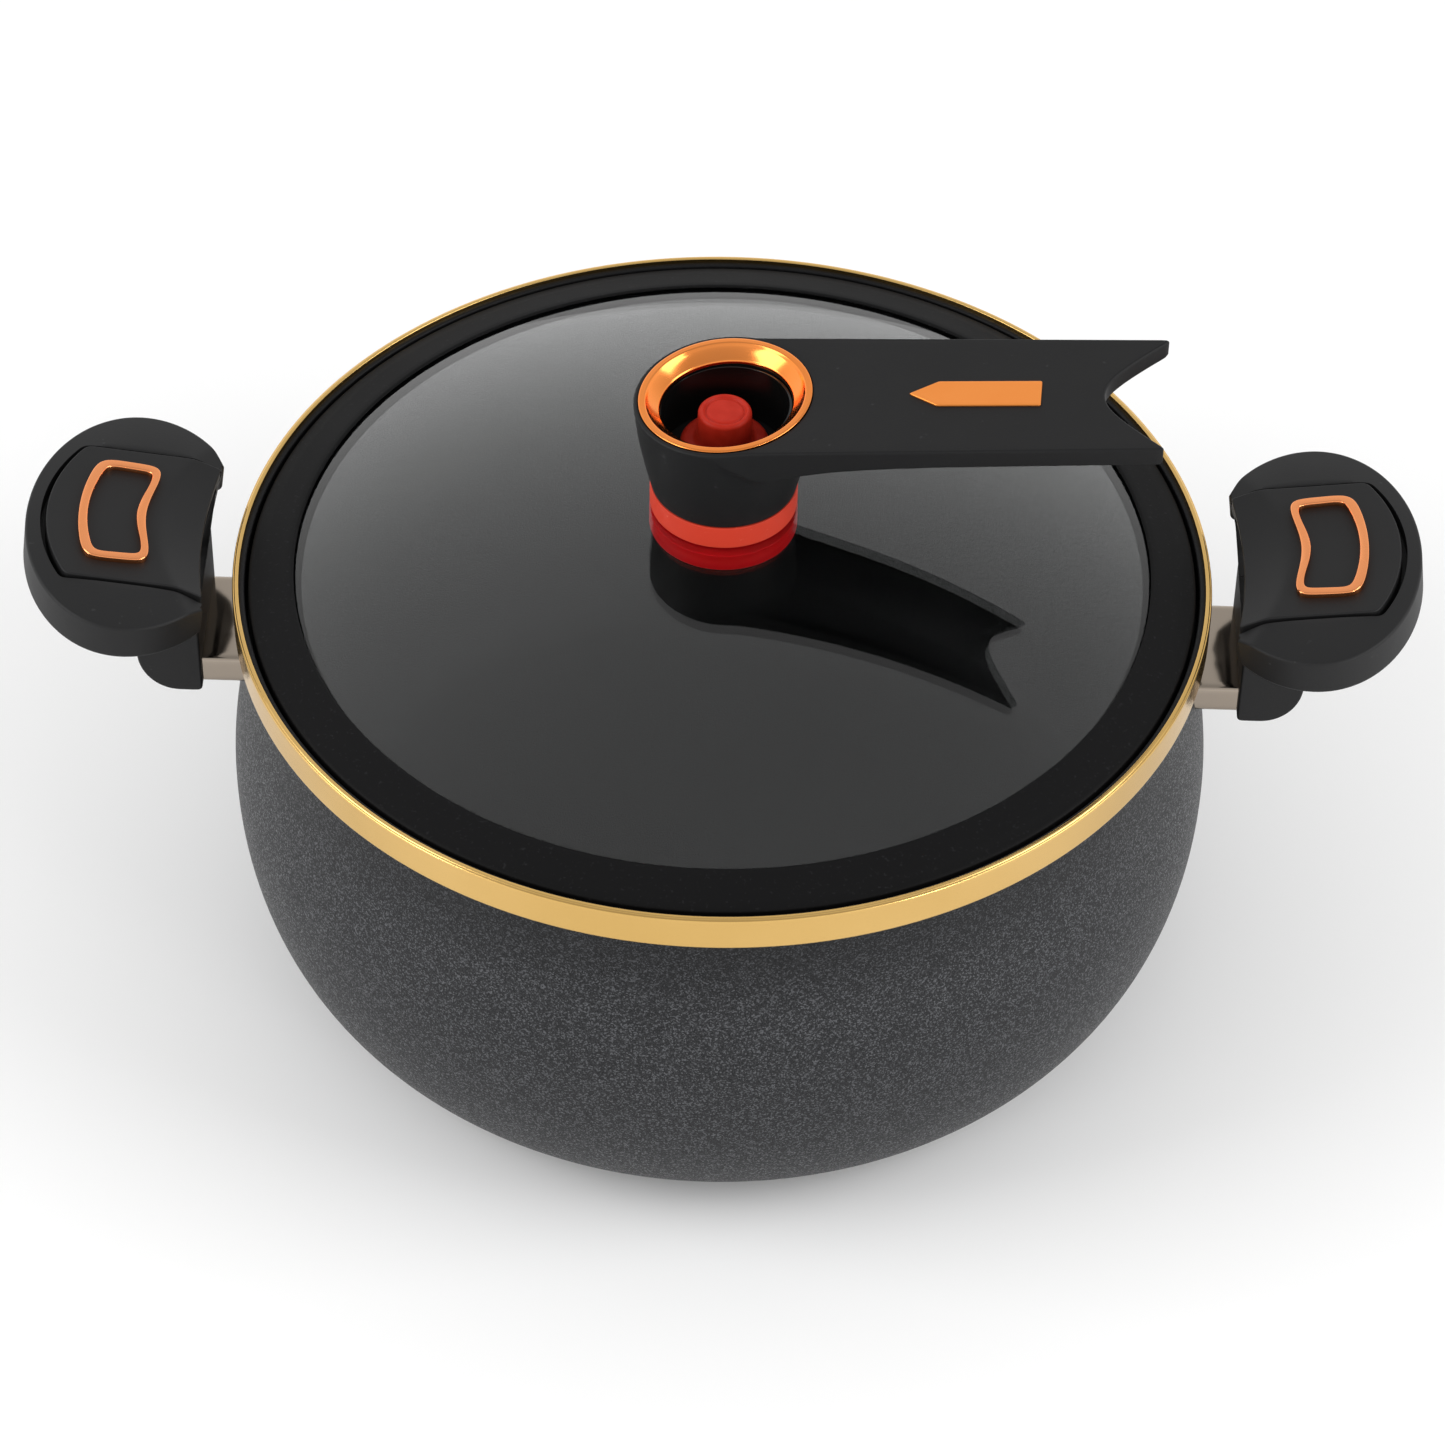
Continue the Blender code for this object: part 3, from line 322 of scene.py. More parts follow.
plate_steel, shader, place = finish("faced steel", (0.56, 0.55, 0.53), 0.30, 1.0)
spot = place.node("SeparateXYZ", None, Vector=place)
from_axis = place.node("VectorMath", {"operation": "LENGTH"}, in0=place.node(
    "CombineXYZ", None, X=spot.output("X"), Y=spot.output("Y"))).output("Value")
rings = from_axis.maths("SINE", from_axis * 5200.0)
wear = noise(place, 60.0, 4.0)
feed(shader, "Roughness", 0.26 + wear * 0.16)
feed(shader, "Normal", bump(place, rings * 0.5 + wear, 0.00006, 0.5))
profile = softened(
    [(0, 0), (plate_r - 1 * MM, 0), (plate_r, 0.8 * MM), (plate_r, plate_t), (0, plate_t)], 0.5 * MM
)
closed_surface("induction_plate", turned(profile), "pot", plate_steel, ["base_plate"])

# --------------------------------------------------------------------------------------------------
# Rim band: thin stainless strip in champagne gold, rolled over the mouth and down the outside.
# A fine bead line parts its flat lip from its face.

gold, shader, place = finish("champagne gold", (0.78, 0.50, 0.17), 0.17, 1.0)
tarnish = noise(place, 18.0, 4.0)
streak = place.node("Mapping", None, Vector=place, Scale=(1, 1, 60))
drag = noise(streak, 40.0, 3.0)
worn_gold = tarnish.between(0.3, 0.75).blend((0.655, 0.415, 0.135, 1), (0.73, 0.475, 0.17, 1))
feed(shader, "Base Color", worn_gold)
feed(shader, "Roughness", 0.13 + drag * 0.10 + tarnish * 0.04)
feed(shader, "Normal", bump(place, drag, 0.00003, 0.4))
lip_r = band_r - 1.8 * MM
profile = softened(
    [
        (lip_r, rim - 3.0 * MM),
        (lip_r, rim - 0.05 * MM),
        (lip_r + 0.5 * MM, rim),
        (band_r - 0.75 * MM, rim),
        (band_r - 0.55 * MM, rim - 0.28 * MM),
        (band_r - 0.12 * MM, rim - 0.35 * MM),
        (band_r, rim - 0.95 * MM),
        (band_r, rim - 9.8 * MM),
        (band_r - 0.35 * MM, rim - 10.5 * MM),
        (band_r - 0.9 * MM, rim - 10.5 * MM),
        (band_r - 0.9 * MM, rim - 1.1 * MM),
        (lip_r + 0.35 * MM, rim - 0.8 * MM),
        (lip_r + 0.35 * MM, rim - 3.0 * MM),
    ],
    0.3 * MM,
    closed=True,
)
closed_surface(
    "gold_rim", turned(profile, 240), "pot", gold, ["rim_band"], round_columns=True
)

# --------------------------------------------------------------------------------------------------
# Lid glass: a clear tempered dome, seen dark because the pot below it is dark.
# Lamps shine through it; the eye gets its two real mirror faces.

glass, shader, place = finish("lid glass", (0.72, 0.74, 0.74), 0.0, 0.0, Transmission_Weight=1.0, IOR=1.52)
tree = glass.node_tree
smear = noise(place, 14.0, 4.0)
feed(shader, "Base Color", smear.between(0.35, 0.7).blend((0.70, 0.72, 0.72, 1), (0.74, 0.76, 0.76, 1)))
see_through = place.node("BsdfTransparent", None, Color=(0.52, 0.53, 0.53, 1))
shadow_ray = Wire(tree, tree.nodes.new("ShaderNodeLightPath").outputs["Is Shadow Ray"])
mirror_faces = Wire(tree, shader.outputs[0])
lamps_pass = place.node("MixShader", None, in0=shadow_ray, in1=mirror_faces, in2=see_through)
tree.links.new(lamps_pass.socket, tree.nodes["Material Output"].inputs["Surface"])

glass_low, glass_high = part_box("lid_glass")
dome_r, glass_t, glass_r = 300 * MM, 4 * MM, 124 * MM
dome_centre = glass_high.z - math.sqrt(dome_r**2 - (5.6 * MM) ** 2)


def dome(r, depth=0.0):
    """Height of the glass at a radius: a sphere whose centre is on the axis, depth under the top face."""
    return dome_centre + np.sqrt((dome_r - depth) ** 2 - np.asarray(r) ** 2)


reach = np.linspace(5.6 * MM, glass_r - 1.2 * MM, 60)
upper = np.stack([reach, dome(reach)], 1)
lower = np.stack([reach, dome(reach, glass_t)], 1)[::-1]
edge_mid = (dome(glass_r) + dome(glass_r, glass_t)) / 2
edge_angle = np.linspace(0.35, -0.35, 7) * math.pi
edge_r = glass_r - 0.55 * MM * (1 - np.cos(edge_angle))
edge = np.stack([edge_r, edge_mid + 1.9 * MM * np.sin(edge_angle)], 1)
profile = np.concatenate([upper, edge, lower])
closed_surface(
    "lid_dome", turned(profile, 240), "lid", glass, ["lid_glass"], round_columns=True
)

# --------------------------------------------------------------------------------------------------
# Seal ring: one black silicone moulding that grips the glass edge and sits on the ledge in the pot.
# Its top slopes out and down, with a small lip that lies on the glass.

black_rubber, shader, place = finish(
    "black silicone", (0.0050, 0.0050, 0.0053), 0.55, 0.0, Specular_IOR_Level=0.08
)
lint = noise(place, 900.0, 2.0)
film = noise(place, 30.0, 4.0)
linted = lint.between(0.60, 0.80).blend((0.0052, 0.0052, 0.0055, 1), (0.014, 0.014, 0.015, 1))
feed(shader, "Base Color", linted)
feed(shader, "Roughness", 0.44 + film * 0.14)
feed(shader, "Normal", bump(place, lint, 0.00003, 0.35))
seal_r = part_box("seal_ring")[1].x
inner_r = seal_r - 12.5 * MM
tuck = 0.3 * MM
profile = softened(
    [
        (seal_r, rim - 8.2 * MM),
        (seal_r, rim - 1.4 * MM),
        (seal_r - 0.7 * MM, rim - 0.9 * MM),
        (seal_r - 4.0 * MM, rim + 0.25 * MM),
        (inner_r + 2.0 * MM, rim + 1.95 * MM),
        (inner_r + 0.6 * MM, rim + 2.2 * MM),
        (inner_r, rim + 1.9 * MM),
        (inner_r, dome(inner_r) + tuck),
        (glass_r + tuck, dome(glass_r) + tuck),
        (glass_r + tuck, dome(glass_r, glass_t) - tuck),
        (inner_r + 2.3 * MM, dome(inner_r + 2.3 * MM, glass_t) - tuck),
        (inner_r + 3.3 * MM, rim - 11 * MM),
        (seal_r - 4.4 * MM, rim - 11 * MM),
        (seal_r - 3.4 * MM, rim - 8.2 * MM),
    ],
    0.5 * MM,
    closed=True,
)
closed_surface(
    "seal_moulding", turned(profile, 240), "lid_ring", black_rubber, ["seal_ring"],
    round_columns=True,
)

# --------------------------------------------------------------------------------------------------
# Gaskets: an orange-red silicone washer between knob and glass, and a deeper red one under the glass.

orange_rubber, shader, place = finish(
    "orange silicone", (0.56, 0.043, 0.020), 0.42, 0.0, Specular_IOR_Level=0.18
)
dust = noise(place, 700.0, 2.0)
feed(shader, "Base Color", dust.between(0.68, 0.8).blend((0.56, 0.043, 0.020, 1), (0.64, 0.13, 0.08, 1)))
feed(shader, "Roughness", 0.38 + noise(place, 90.0, 3.0) * 0.12)
gasket_r, gasket_top = 20.0 * MM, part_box("knob_gasket")[1].z
hole_r = 5.3 * MM
profile = softened(
    [
        (hole_r, dome(hole_r) + tuck),
        (gasket_r, dome(gasket_r) + tuck),
        (gasket_r, gasket_top),
        (hole_r, gasket_top),
    ],
    0.35 * MM,
    closed=True,
)
closed_surface(
    "upper_gasket", turned(profile), "lid", orange_rubber, ["knob_gasket"],
    round_columns=True,
)

deep_rubber, shader, place = finish(
    "deep red silicone", (0.85, 0.003, 0.010), 0.36, 0.0, Specular_IOR_Level=0.12
)
feed(shader, "Roughness", 0.32 + noise(place, 90.0, 3.0) * 0.12)
feed(shader, "Base Color", noise(place, 60.0, 3.0).blend((0.82, 0.002, 0.009, 1), (0.88, 0.004, 0.012, 1)))
under_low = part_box("lower_gasket")[0].z
profile = softened(
    [
        (hole_r, under_low),
        (gasket_r, under_low),
        (gasket_r, dome(gasket_r, glass_t) - tuck),
        (hole_r, dome(hole_r, glass_t) - tuck),
    ],
    0.35 * MM,
    closed=True,
)
closed_surface(
    "under_gasket", turned(profile), "lid", deep_rubber, ["lower_gasket"], round_columns=True
)

# --------------------------------------------------------------------------------------------------
# Lid handle: one moulding in heat-proof matt black plastic. The knob flares up into a cup, and an arm
# runs out level with the cup's mouth to a forked tail, so that the lid can stand on knob and tail.

matt_black, shader, place = finish(
    "matt black moulding", (0.0075, 0.0075, 0.0079), 0.50, 0.0, Specular_IOR_Level=0.20
)
grain = noise(place, 1500.0, 3.0, 0.6)
scuff = noise(place, 45.0, 5.0, 0.6)
speck = noise(place, 420.0, 2.0)
worn = speck.between(0.70, 0.80)
feed(shader, "Base Color", worn.blend((0.0072, 0.0072, 0.0076, 1), (0.024, 0.024, 0.025, 1)))
feed(shader, "Roughness", 0.46 + scuff * 0.14 + grain * 0.04)
feed(shader, "Normal", bump(place, grain, 0.00006, 0.45))

inlay_low, inlay_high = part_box("pointer_inlay")
inlay_mid = (inlay_low + inlay_high) / 2
lid_turn = math.atan2(inlay_mid.y, inlay_mid.x)
tilt = math.radians(5.6)
slope = math.tan(tilt)
knob_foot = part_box("lid_handle")[0].z
mouth_top = gasket_top + 29.8 * MM
cup_floor = gasket_top + 8.4 * MM
foot_r_knob, mouth_r_knob = 19.7 * MM, 24.7 * MM


def on_lid(points):
    """Turns points from the arm's own direction, +X, to where the arm points."""
    x, y, z = np.moveaxis(points, -1, 0)
    c, s = math.cos(lid_turn), math.sin(lid_turn)
    return np.stack([x * c - y * s, x * s + y * c, z], -1)


def tilted(points):
    """Points of the cup's sloping mouth plane, as (along the arm, across, above the plane), upright."""
    x, y, z = np.moveaxis(points, -1, 0)
    c, s = math.cos(tilt), math.sin(tilt)
    return np.stack([x * c - z * s, y, mouth_top + x * s + z * c], -1)


def evenly(line, count):
    """The same closed line with its points spaced evenly along it."""
    loop = np.concatenate([line, line[:1]])
    run = np.concatenate([[0], np.cumsum(np.linalg.norm(np.diff(loop, axis=0), axis=1))])
    at = np.linspace(0, run[-1], count, endpoint=False)
    return np.stack([np.interp(at, run, loop[:, i]) for i in range(2)], 1)


def rounded(line, reach, count):
    """A closed line with its corners worn round: an even line averaged over a bell-shaped window."""
    fine_line = evenly(line, 4 * count)
    step = np.linalg.norm(fine_line[1] - fine_line[0])
    window = np.arange(-int(3 * reach / step) - 1, int(3 * reach / step) + 2)
    bell = np.exp(-0.5 * (window * step / reach) ** 2)
    bell /= bell.sum()
    index = (np.arange(len(fine_line))[:, None] + window[None]) % len(fine_line)
    return evenly((fine_line[index] * bell[None, :, None]).sum(1), count)


def inward(line):
    """Unit vectors square to a closed, anticlockwise line, into it."""
    along = np.roll(line, -1, 0) - np.roll(line, 1, 0)
    along /= np.linalg.norm(along, axis=1)[:, None]
    return np.stack([-along[:, 1], along[:, 0]], 1)


tail_half, root_half, reach_out = 22.3 * MM, 23.9 * MM, 118.0 * MM
arc_start = math.acos(math.sqrt(mouth_r_knob**2 - root_half**2) / mouth_r_knob)
bow = np.linspace(arc_start, TAU - arc_start, 90)
free_side = mouth_r_knob * np.stack([np.cos(bow), np.sin(bow)], 1)
across = np.linspace(-1, 1, 81) * tail_half
notch_round, notch_deep = 12.0 * MM, 17.5 * MM
fork_slope = math.sqrt((notch_deep + notch_round) ** 2 - notch_round**2) / tail_half
fork = reach_out - notch_deep - notch_round + np.sqrt(notch_round**2 + (fork_slope * across) ** 2)
outline = np.concatenate([free_side, np.stack([fork, across], 1)])
outline = rounded(outline, 1.7 * MM, 480)
normal = inward(outline)

edge_round, cup_edge_r = 0.7 * MM, 23.55 * MM
quarter = np.linspace(0, math.pi / 2, 6)
along_arm = outline[:, 0]


def arm_depth(x):
    """Depth of the arm under its top: 5.3 mm, with a root that dies away over 14 mm, and fading out
    on the side of the knob that has no arm."""
    depth = 5.3 * MM + 3.6 * MM * np.exp(-np.maximum(x - 18 * MM, -8 * MM) / (14 * MM))
    return depth * np.clip((along_arm + 2 * MM) / (16 * MM), 0, 1) ** 0.7


arm_t = arm_depth(along_arm)
fullness = np.clip(arm_t / (5 * MM), 0, 1)


def wall_height(r):
    """Height at which the knob's side has a radius: straight from foot to mouth, a little bulged."""
    q = np.linspace(-0.2, 3, 400)
    side = foot_r_knob + (mouth_r_knob - foot_r_knob) * q + 0.7 * MM * np.sin(np.pi * q.clip(0, 1))
    return knob_foot + (mouth_top - knob_foot) * np.interp(r, side, q)


def softer_least(a, b, width):
    """The lesser of two heights, with the crossing rounded over a width."""
    m = np.minimum(a, b)
    return m - width * np.log(np.exp(-(a - m) / width) + np.exp(-(b - m) / width))


def plane_z(x):
    """Height of the cup's mouth plane, which rises evenly along the arm."""
    return mouth_top + slope * x


polar = np.arctan2(outline[:, 1], outline[:, 0])
cup_edge = cup_edge_r * np.stack([np.cos(polar), np.sin(polar)], 1)


def ring(radius, z):
    """A level ring round the knob's axis, with a point on the bearing of each point of the outline."""
    return np.stack([radius * np.cos(polar), radius * np.sin(polar), z + 0 * polar], 1)


rings = [ring(0.0, cup_floor), ring(18.0 * MM, cup_floor), ring(18.3 * MM, cup_floor + 0.4 * MM)]
cup_steps = [(18.3 * MM, 5.2 * MM), (20.6 * MM, 1.4 * MM), (cup_edge_r, 1.2 * MM), (cup_edge_r, 0.35 * MM)]
rings += [tilted(ring(radius, -drop)) for radius, drop in cup_steps]
top_in = outline + normal * edge_round
for share in (0.0, 0.08, 0.3, 0.55, 0.8, 1.0):
    flat = cup_edge * (1 - share) + top_in * share
    drop = 0.12 * MM if share == 0 else 0.0
    rings.append(tilted(np.concatenate([flat, np.full((len(flat), 1), -drop)], 1)))
for angle in quarter[1:]:
    flat = top_in - normal * edge_round * math.sin(angle)
    rings.append(
        tilted(np.concatenate([flat, np.full((len(flat), 1), -edge_round * (1 - math.cos(angle)))], 1))
    )
upright_edge = rings[-1]
edge_xy = upright_edge[:, :2]
side_r = np.linalg.norm(edge_xy, axis=1)
under = softer_least(plane_z(edge_xy[:, 0]) - arm_t, wall_height(side_r), 0.9 * MM)
under = np.minimum(under, upright_edge[:, 2] - 0.05 * MM)
for share in (0.25, 0.5, 0.75, 1.0):
    z = upright_edge[:, 2] + (under + 0.6 * MM * fullness - upright_edge[:, 2]) * share
    z = np.minimum(z, upright_edge[:, 2])
    rings.append(np.concatenate([edge_xy, z[:, None]], 1))
direction = edge_xy / side_r[:, None]
knee_r = np.minimum(side_r, 27.5 * MM)
last_z = rings[-1][:, 2]
for share in np.linspace(0.004, 1, 14):
    r = side_r + (knee_r - side_r) * share
    x = direction[:, 0] * r
    z = softer_least(plane_z(x) - arm_depth(x), wall_height(r), 0.9 * MM)
    rings.append(np.stack([x, direction[:, 1] * r, np.minimum(z, last_z)], 1))
for share in np.linspace(0, 1, 26)[1:]:
    r = knee_r + (foot_r_knob - knee_r) * share
    x = direction[:, 0] * r
    z = softer_least(plane_z(x) - arm_depth(x), wall_height(r), 0.9 * MM + 1.6 * MM * fullness)
    z = np.maximum(z, knob_foot)
    rings.append(np.stack([x, direction[:, 1] * r, np.minimum(z, last_z)], 1))
rings += [ring(foot_r_knob, knob_foot), ring(0.0, knob_foot)]
closed_surface("knob_and_arm", on_lid(np.stack(rings)), "lid", matt_black, ["lid_handle"])

# --------------------------------------------------------------------------------------------------
# Cup trim: a copper-plated ring with a flat lip and a hollow-ground slope down into the cup.

copper, shader, place = finish("polished copper", (0.88, 0.28, 0.06), 0.16, 1.0)
hue = noise(place, 30.0, 3.0)
feed(shader, "Base Color", hue.between(0.3, 0.7).blend((0.84, 0.245, 0.045, 1), (0.90, 0.29, 0.070, 1)))
feed(shader, "Roughness", 0.13 + noise(place, 120.0, 3.0) * 0.07)
trim_r = 23.3 * MM
hollow = np.linspace(0, 1, 12)
slope_line = np.stack([trim_r - 2.0 * MM - 3.4 * MM * hollow, 0.25 * MM - 3.3 * MM * hollow**0.8], 1)
profile = np.concatenate(
    [
        softened(
            [
                (trim_r, -1.0 * MM),
                (trim_r, 0.3 * MM),
                (trim_r - 0.4 * MM, 0.45 * MM),
                (trim_r - 1.7 * MM, 0.45 * MM),
                slope_line[0],
            ],
            0.25 * MM,
        ),
        slope_line[1:],
        softened(
            [
                slope_line[-1] - (0.15 * MM, 0.5 * MM),
                slope_line[-1] - (0.1 * MM, 1.1 * MM),
                slope_line[-1] + (0.5 * MM, -1.1 * MM),
                slope_line[0] + (0.2 * MM, -1.2 * MM),
                (trim_r - 0.3 * MM, -1.1 * MM),
            ],
            0.2 * MM,
        ),
    ]
)
flat_ring = turned(profile, 160)
closed_surface(
    "copper_cup_ring", on_lid(tilted(flat_ring)), "lid", copper, ["cup_trim"],
    round_columns=True,
)

# --------------------------------------------------------------------------------------------------
# Cup liner: a gloss black sleeve inside the knob.

gloss_black, shader, place = finish(
    "gloss black liner", (0.004, 0.004, 0.004), 0.12, 0.0, Specular_IOR_Level=0.4
)
feed(shader, "Roughness", 0.10 + noise(place, 200.0, 2.0) * 0.08)
liner_r, liner_in = 18.0 * MM, 17.0 * MM
sleeve = cup_floor + 0.3 * MM
angle = np.linspace(0, TAU, 128, endpoint=False)
sleeve_top = mouth_top + slope * 17.5 * MM * np.cos(angle) - 4.6 * MM
rows = [
    (liner_in, sleeve + 0 * angle),
    (liner_in, sleeve_top - 0.3 * MM),
    (liner_in + 0.2 * MM, sleeve_top),
    (liner_r - 0.2 * MM, sleeve_top),
    (liner_r, sleeve_top - 0.3 * MM),
    (liner_r, sleeve + 0 * angle),
]
grid = np.stack([np.stack([r * np.cos(angle), r * np.sin(angle), z], -1) for r, z in rows])
closed_surface(
    "cup_sleeve", on_lid(grid), "lid", gloss_black, ["cup_liner"], round_columns=True
)

# --------------------------------------------------------------------------------------------------
# Pointer: a satin copper strip let into the arm, blunt at one end and pointed towards the knob.


def moulded(line, height_of, low, edge, foot_edge=0.0, rows=10, centre=None):
    """The grid of a flat moulding: a closed line raised from low to the height at each point, with its
    top and bottom edges rounded. The top closes on the middle in rings, so it can bend."""
    normal = inward(line)
    middle = line.mean(0) if centre is None else np.asarray(centre, float)
    arc = np.linspace(0, math.pi / 2, 6)
    grid = [np.broadcast_to([*middle, low], (len(line), 3))]
    lower_in = line + normal * foot_edge
    grid.append(np.concatenate([lower_in, np.full((len(line), 1), low)], 1))
    if foot_edge:
        for angle in arc[1:]:
            flat = lower_in - normal * foot_edge * math.sin(angle)
            z = low + foot_edge * (1 - math.cos(angle))
            grid.append(np.concatenate([flat, np.full((len(line), 1), z)], 1))
    for angle in arc:
        flat = line + normal * edge * (1 - math.cos(angle))
        z = height_of(flat) - edge * (1 - math.sin(angle))
        grid.append(np.concatenate([flat, z[:, None]], 1))
    top_in = line + normal * edge
    for share in np.linspace(0, 1, rows + 1)[1:]:
        flat = top_in * (1 - share) + middle * share
        grid.append(np.concatenate([flat, height_of(flat)[:, None]], 1))
    return np.stack(grid)


satin_copper, shader, place = finish("satin copper", (0.93, 0.33, 0.085), 0.33, 0.85)
brushed = place.node("Mapping", None, Vector=place, Scale=(1, 30, 1))
feed(shader, "Roughness", 0.28 + noise(brushed, 300.0, 3.0) * 0.12)
feed(shader, "Base Color", noise(place, 80.0, 3.0).blend((0.88, 0.275, 0.048, 1), (0.92, 0.31, 0.065, 1)))
start, point, long, half = 49 * MM, 7.6 * MM, 35 * MM, 4.9 * MM
pointer = np.array(
    [(start, 0), (start + point, -half), (start + long, -half), (start + long, half), (start + point, half)]
)
pointer = rounded(pointer, 0.3 * MM, 160)
grid = moulded(pointer, lambda p: np.full(len(p), 0.5 * MM), -1.0 * MM, 0.25 * MM)
closed_surface("pointer_strip", on_lid(tilted(grid)), "lid", satin_copper, ["pointer_inlay"])

# --------------------------------------------------------------------------------------------------
# Valve cap: red silicone over the steel weight. A dished button stands on a wide flat skirt.

valve_red, shader, place = finish(
    "valve red silicone", (0.50, 0.026, 0.012), 0.42, 0.0, Specular_IOR_Level=0.12
)
blotch = noise(place, 300.0, 3.0).between(0.3, 0.8)
feed(shader, "Base Color", blotch.blend((0.43, 0.020, 0.009, 1), (0.49, 0.028, 0.014, 1)))
feed(shader, "Roughness", 0.36 + noise(place, 150.0, 3.0) * 0.12)
cap_low, cap_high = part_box("valve_cap")
top, foot_z_cap = cap_high.z, cap_low.z
button = 7.2 * MM
cavity_r, cavity_top = 5.8 * MM, top - 3 * MM
profile = softened(
    [
        (0, top - 0.45 * MM),
        (4.7 * MM, top - 0.35 * MM),
        (5.3 * MM, top - 0.9 * MM),
        (5.8 * MM, top - 0.1 * MM),
        (6.4 * MM, top),
        (button, top - 0.7 * MM),
        (button + 0.25 * MM, foot_z_cap + 5.2 * MM),
        (button + 1.0 * MM, foot_z_cap + 4.0 * MM),
        (11.0 * MM, foot_z_cap + 3.6 * MM),
        (12.0 * MM, foot_z_cap + 2.6 * MM),
        (12.0 * MM, foot_z_cap),
        (cavity_r, foot_z_cap),
        (cavity_r, cavity_top),
        (0, cavity_top),
    ],
    0.6 * MM,
)
closed_surface("valve_button", turned(profile, 128), "valve", valve_red, ["valve_cap"])

# --------------------------------------------------------------------------------------------------
# Steel fittings: vent tube, weight, clip, washer, nut, studs and screws keep their turned CAD shapes.

bright_steel, shader, place = finish("bright steel", (0.62, 0.61, 0.59), 0.20, 1.0)
feed(shader, "Roughness", 0.17 + noise(place, 250.0, 3.0) * 0.12)
feed(shader, "Normal", bump(place, noise(place, 900.0, 2.0), 0.00002, 0.3))
side_steel = ["weld_stud", "handle_screw", "shell_screw_front", "shell_screw_back"]
side_steel += ["slide_keeper", "slide_screw"]
kept = ["vent_tube", "valve_weight", "valve_clip", "clamp_washer", "clamp_nut"]
kept += [f"{side}_{word}" for side in ("right", "left") for word in side_steel]
for name in kept:
    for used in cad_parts[name].material_slots:
        used.material = bright_steel

# --------------------------------------------------------------------------------------------------
# Side handle shells: matt black grips whose plan is an ellipse cut off by an arc round the pot.
# The lock slab slides in a channel along the top, and the top falls away over the last part
# towards the pot.

shell_black, shader, place = finish(
    "handle moulding", (0.0100, 0.0100, 0.0104), 0.50, 0.0, Specular_IOR_Level=0.24
)
grain = noise(place, 1300.0, 3.0, 0.6)
scuff = noise(place, 38.0, 5.0, 0.6)
speck = noise(place, 380.0, 2.0)
specked = speck.between(0.70, 0.82).blend((0.0098, 0.0098, 0.0102, 1), (0.03, 0.03, 0.031, 1))
feed(shader, "Base Color", specked)
feed(shader, "Roughness", 0.44 + scuff * 0.14 + grain * 0.04)
feed(shader, "Normal", bump(place, grain, 0.00006, 0.45))

arc_r, grip_tilt = band_r + 9.0 * MM, math.radians(7.5)
shell_mid, shell_out, shell_in, shell_half = arc_r + 19.4 * MM, 28.8 * MM, 30.6 * MM, 43.0 * MM
slab_half, slab_end_r, slab_out = 26.0 * MM, 47.0 * MM, shell_mid + shell_out - 5.5 * MM
shell_low, shell_edge_top, shell_crown = -3.2 * MM, 7.6 * MM, 9.5 * MM
slab_top = 9.85 * MM


def on_grip(grid):
    """Tilts points from a grip lying flat beside the rim up about the foot of its inner face."""
    x, y, z = grid[..., 0] - arc_r, grid[..., 1], grid[..., 2]
    c, s = math.cos(grip_tilt), math.sin(grip_tilt)
    return np.stack([arc_r + x * c - z * s, y, rim + x * s + z * c], -1)


def fall(x, y):
    """How far the handle's top has fallen at a point: nothing beyond a bowed crease, then an even
    slope towards the pot, with the crease rounded."""
    crease = arc_r + 12.0 * MM - 7.0 * MM * (y / slab_half) ** 2
    past = (crease - x) / (0.7 * MM)
    return 0.36 * 0.7 * MM * np.logaddexp(0, past)


def sides(grid):
    """The right-hand piece's grid as it is, and turned half round the pot for the left."""
    return ("right", grid), ("left", grid * (-1, -1, 1))


def plan_ray(line, centre, angle):
    """Where rays from a centre, at the given angles, meet a line given as points."""
    off = line - centre
    bearing = np.unwrap(np.arctan2(off[:, 1], off[:, 0]))
    far = np.interp(angle, bearing, np.linalg.norm(off, axis=1))
    return centre + far[:, None] * np.stack([np.cos(angle), np.sin(angle)], 1)


theta = np.linspace(-math.pi, math.pi, 721)
shell_long = np.where(np.cos(theta) > 0, shell_out, shell_in)
ellipse = np.stack([shell_mid + shell_long * np.cos(theta), shell_half * np.sin(theta)], 1)
outside_arc = ellipse[np.linalg.norm(ellipse, axis=1) > arc_r]
hub = np.array([shell_mid + 2 * MM, 0.0])
limit = np.arctan2(*(outside_arc[-1] - hub)[::-1])


def channel_line(wide, long):
    """The slab's plan, made wider and longer by the given play: straight sides, a bowed outer end and
    3 mm corners that run smoothly into both."""
    corner = 3.0 * MM
    half, hub_x = slab_half + wide, slab_out + long - slab_end_r
    corner_y = half - corner
    corner_x = hub_x + math.sqrt((slab_end_r - corner) ** 2 - corner_y**2)
    bend = math.atan2(corner_y, corner_x - hub_x)
    a, b = np.linspace(-math.pi / 2, -bend, 12), np.linspace(-bend, bend, 90)[1:-1]
    low_corner = np.stack([corner_x + corner * np.cos(a), -corner_y + corner * np.sin(a)], 1)
    end = np.stack([hub_x + slab_end_r * np.cos(b), slab_end_r * np.sin(b)], 1)
    high_corner = low_corner[::-1] * (1, -1)
    run = np.linspace(math.sqrt(arc_r**2 - half**2), corner_x, 40, endpoint=False)
    side = np.stack([run, 0 * run + half], 1)
    return np.concatenate([side * (1, -1), low_corner, end, high_corner, side[::-1]])


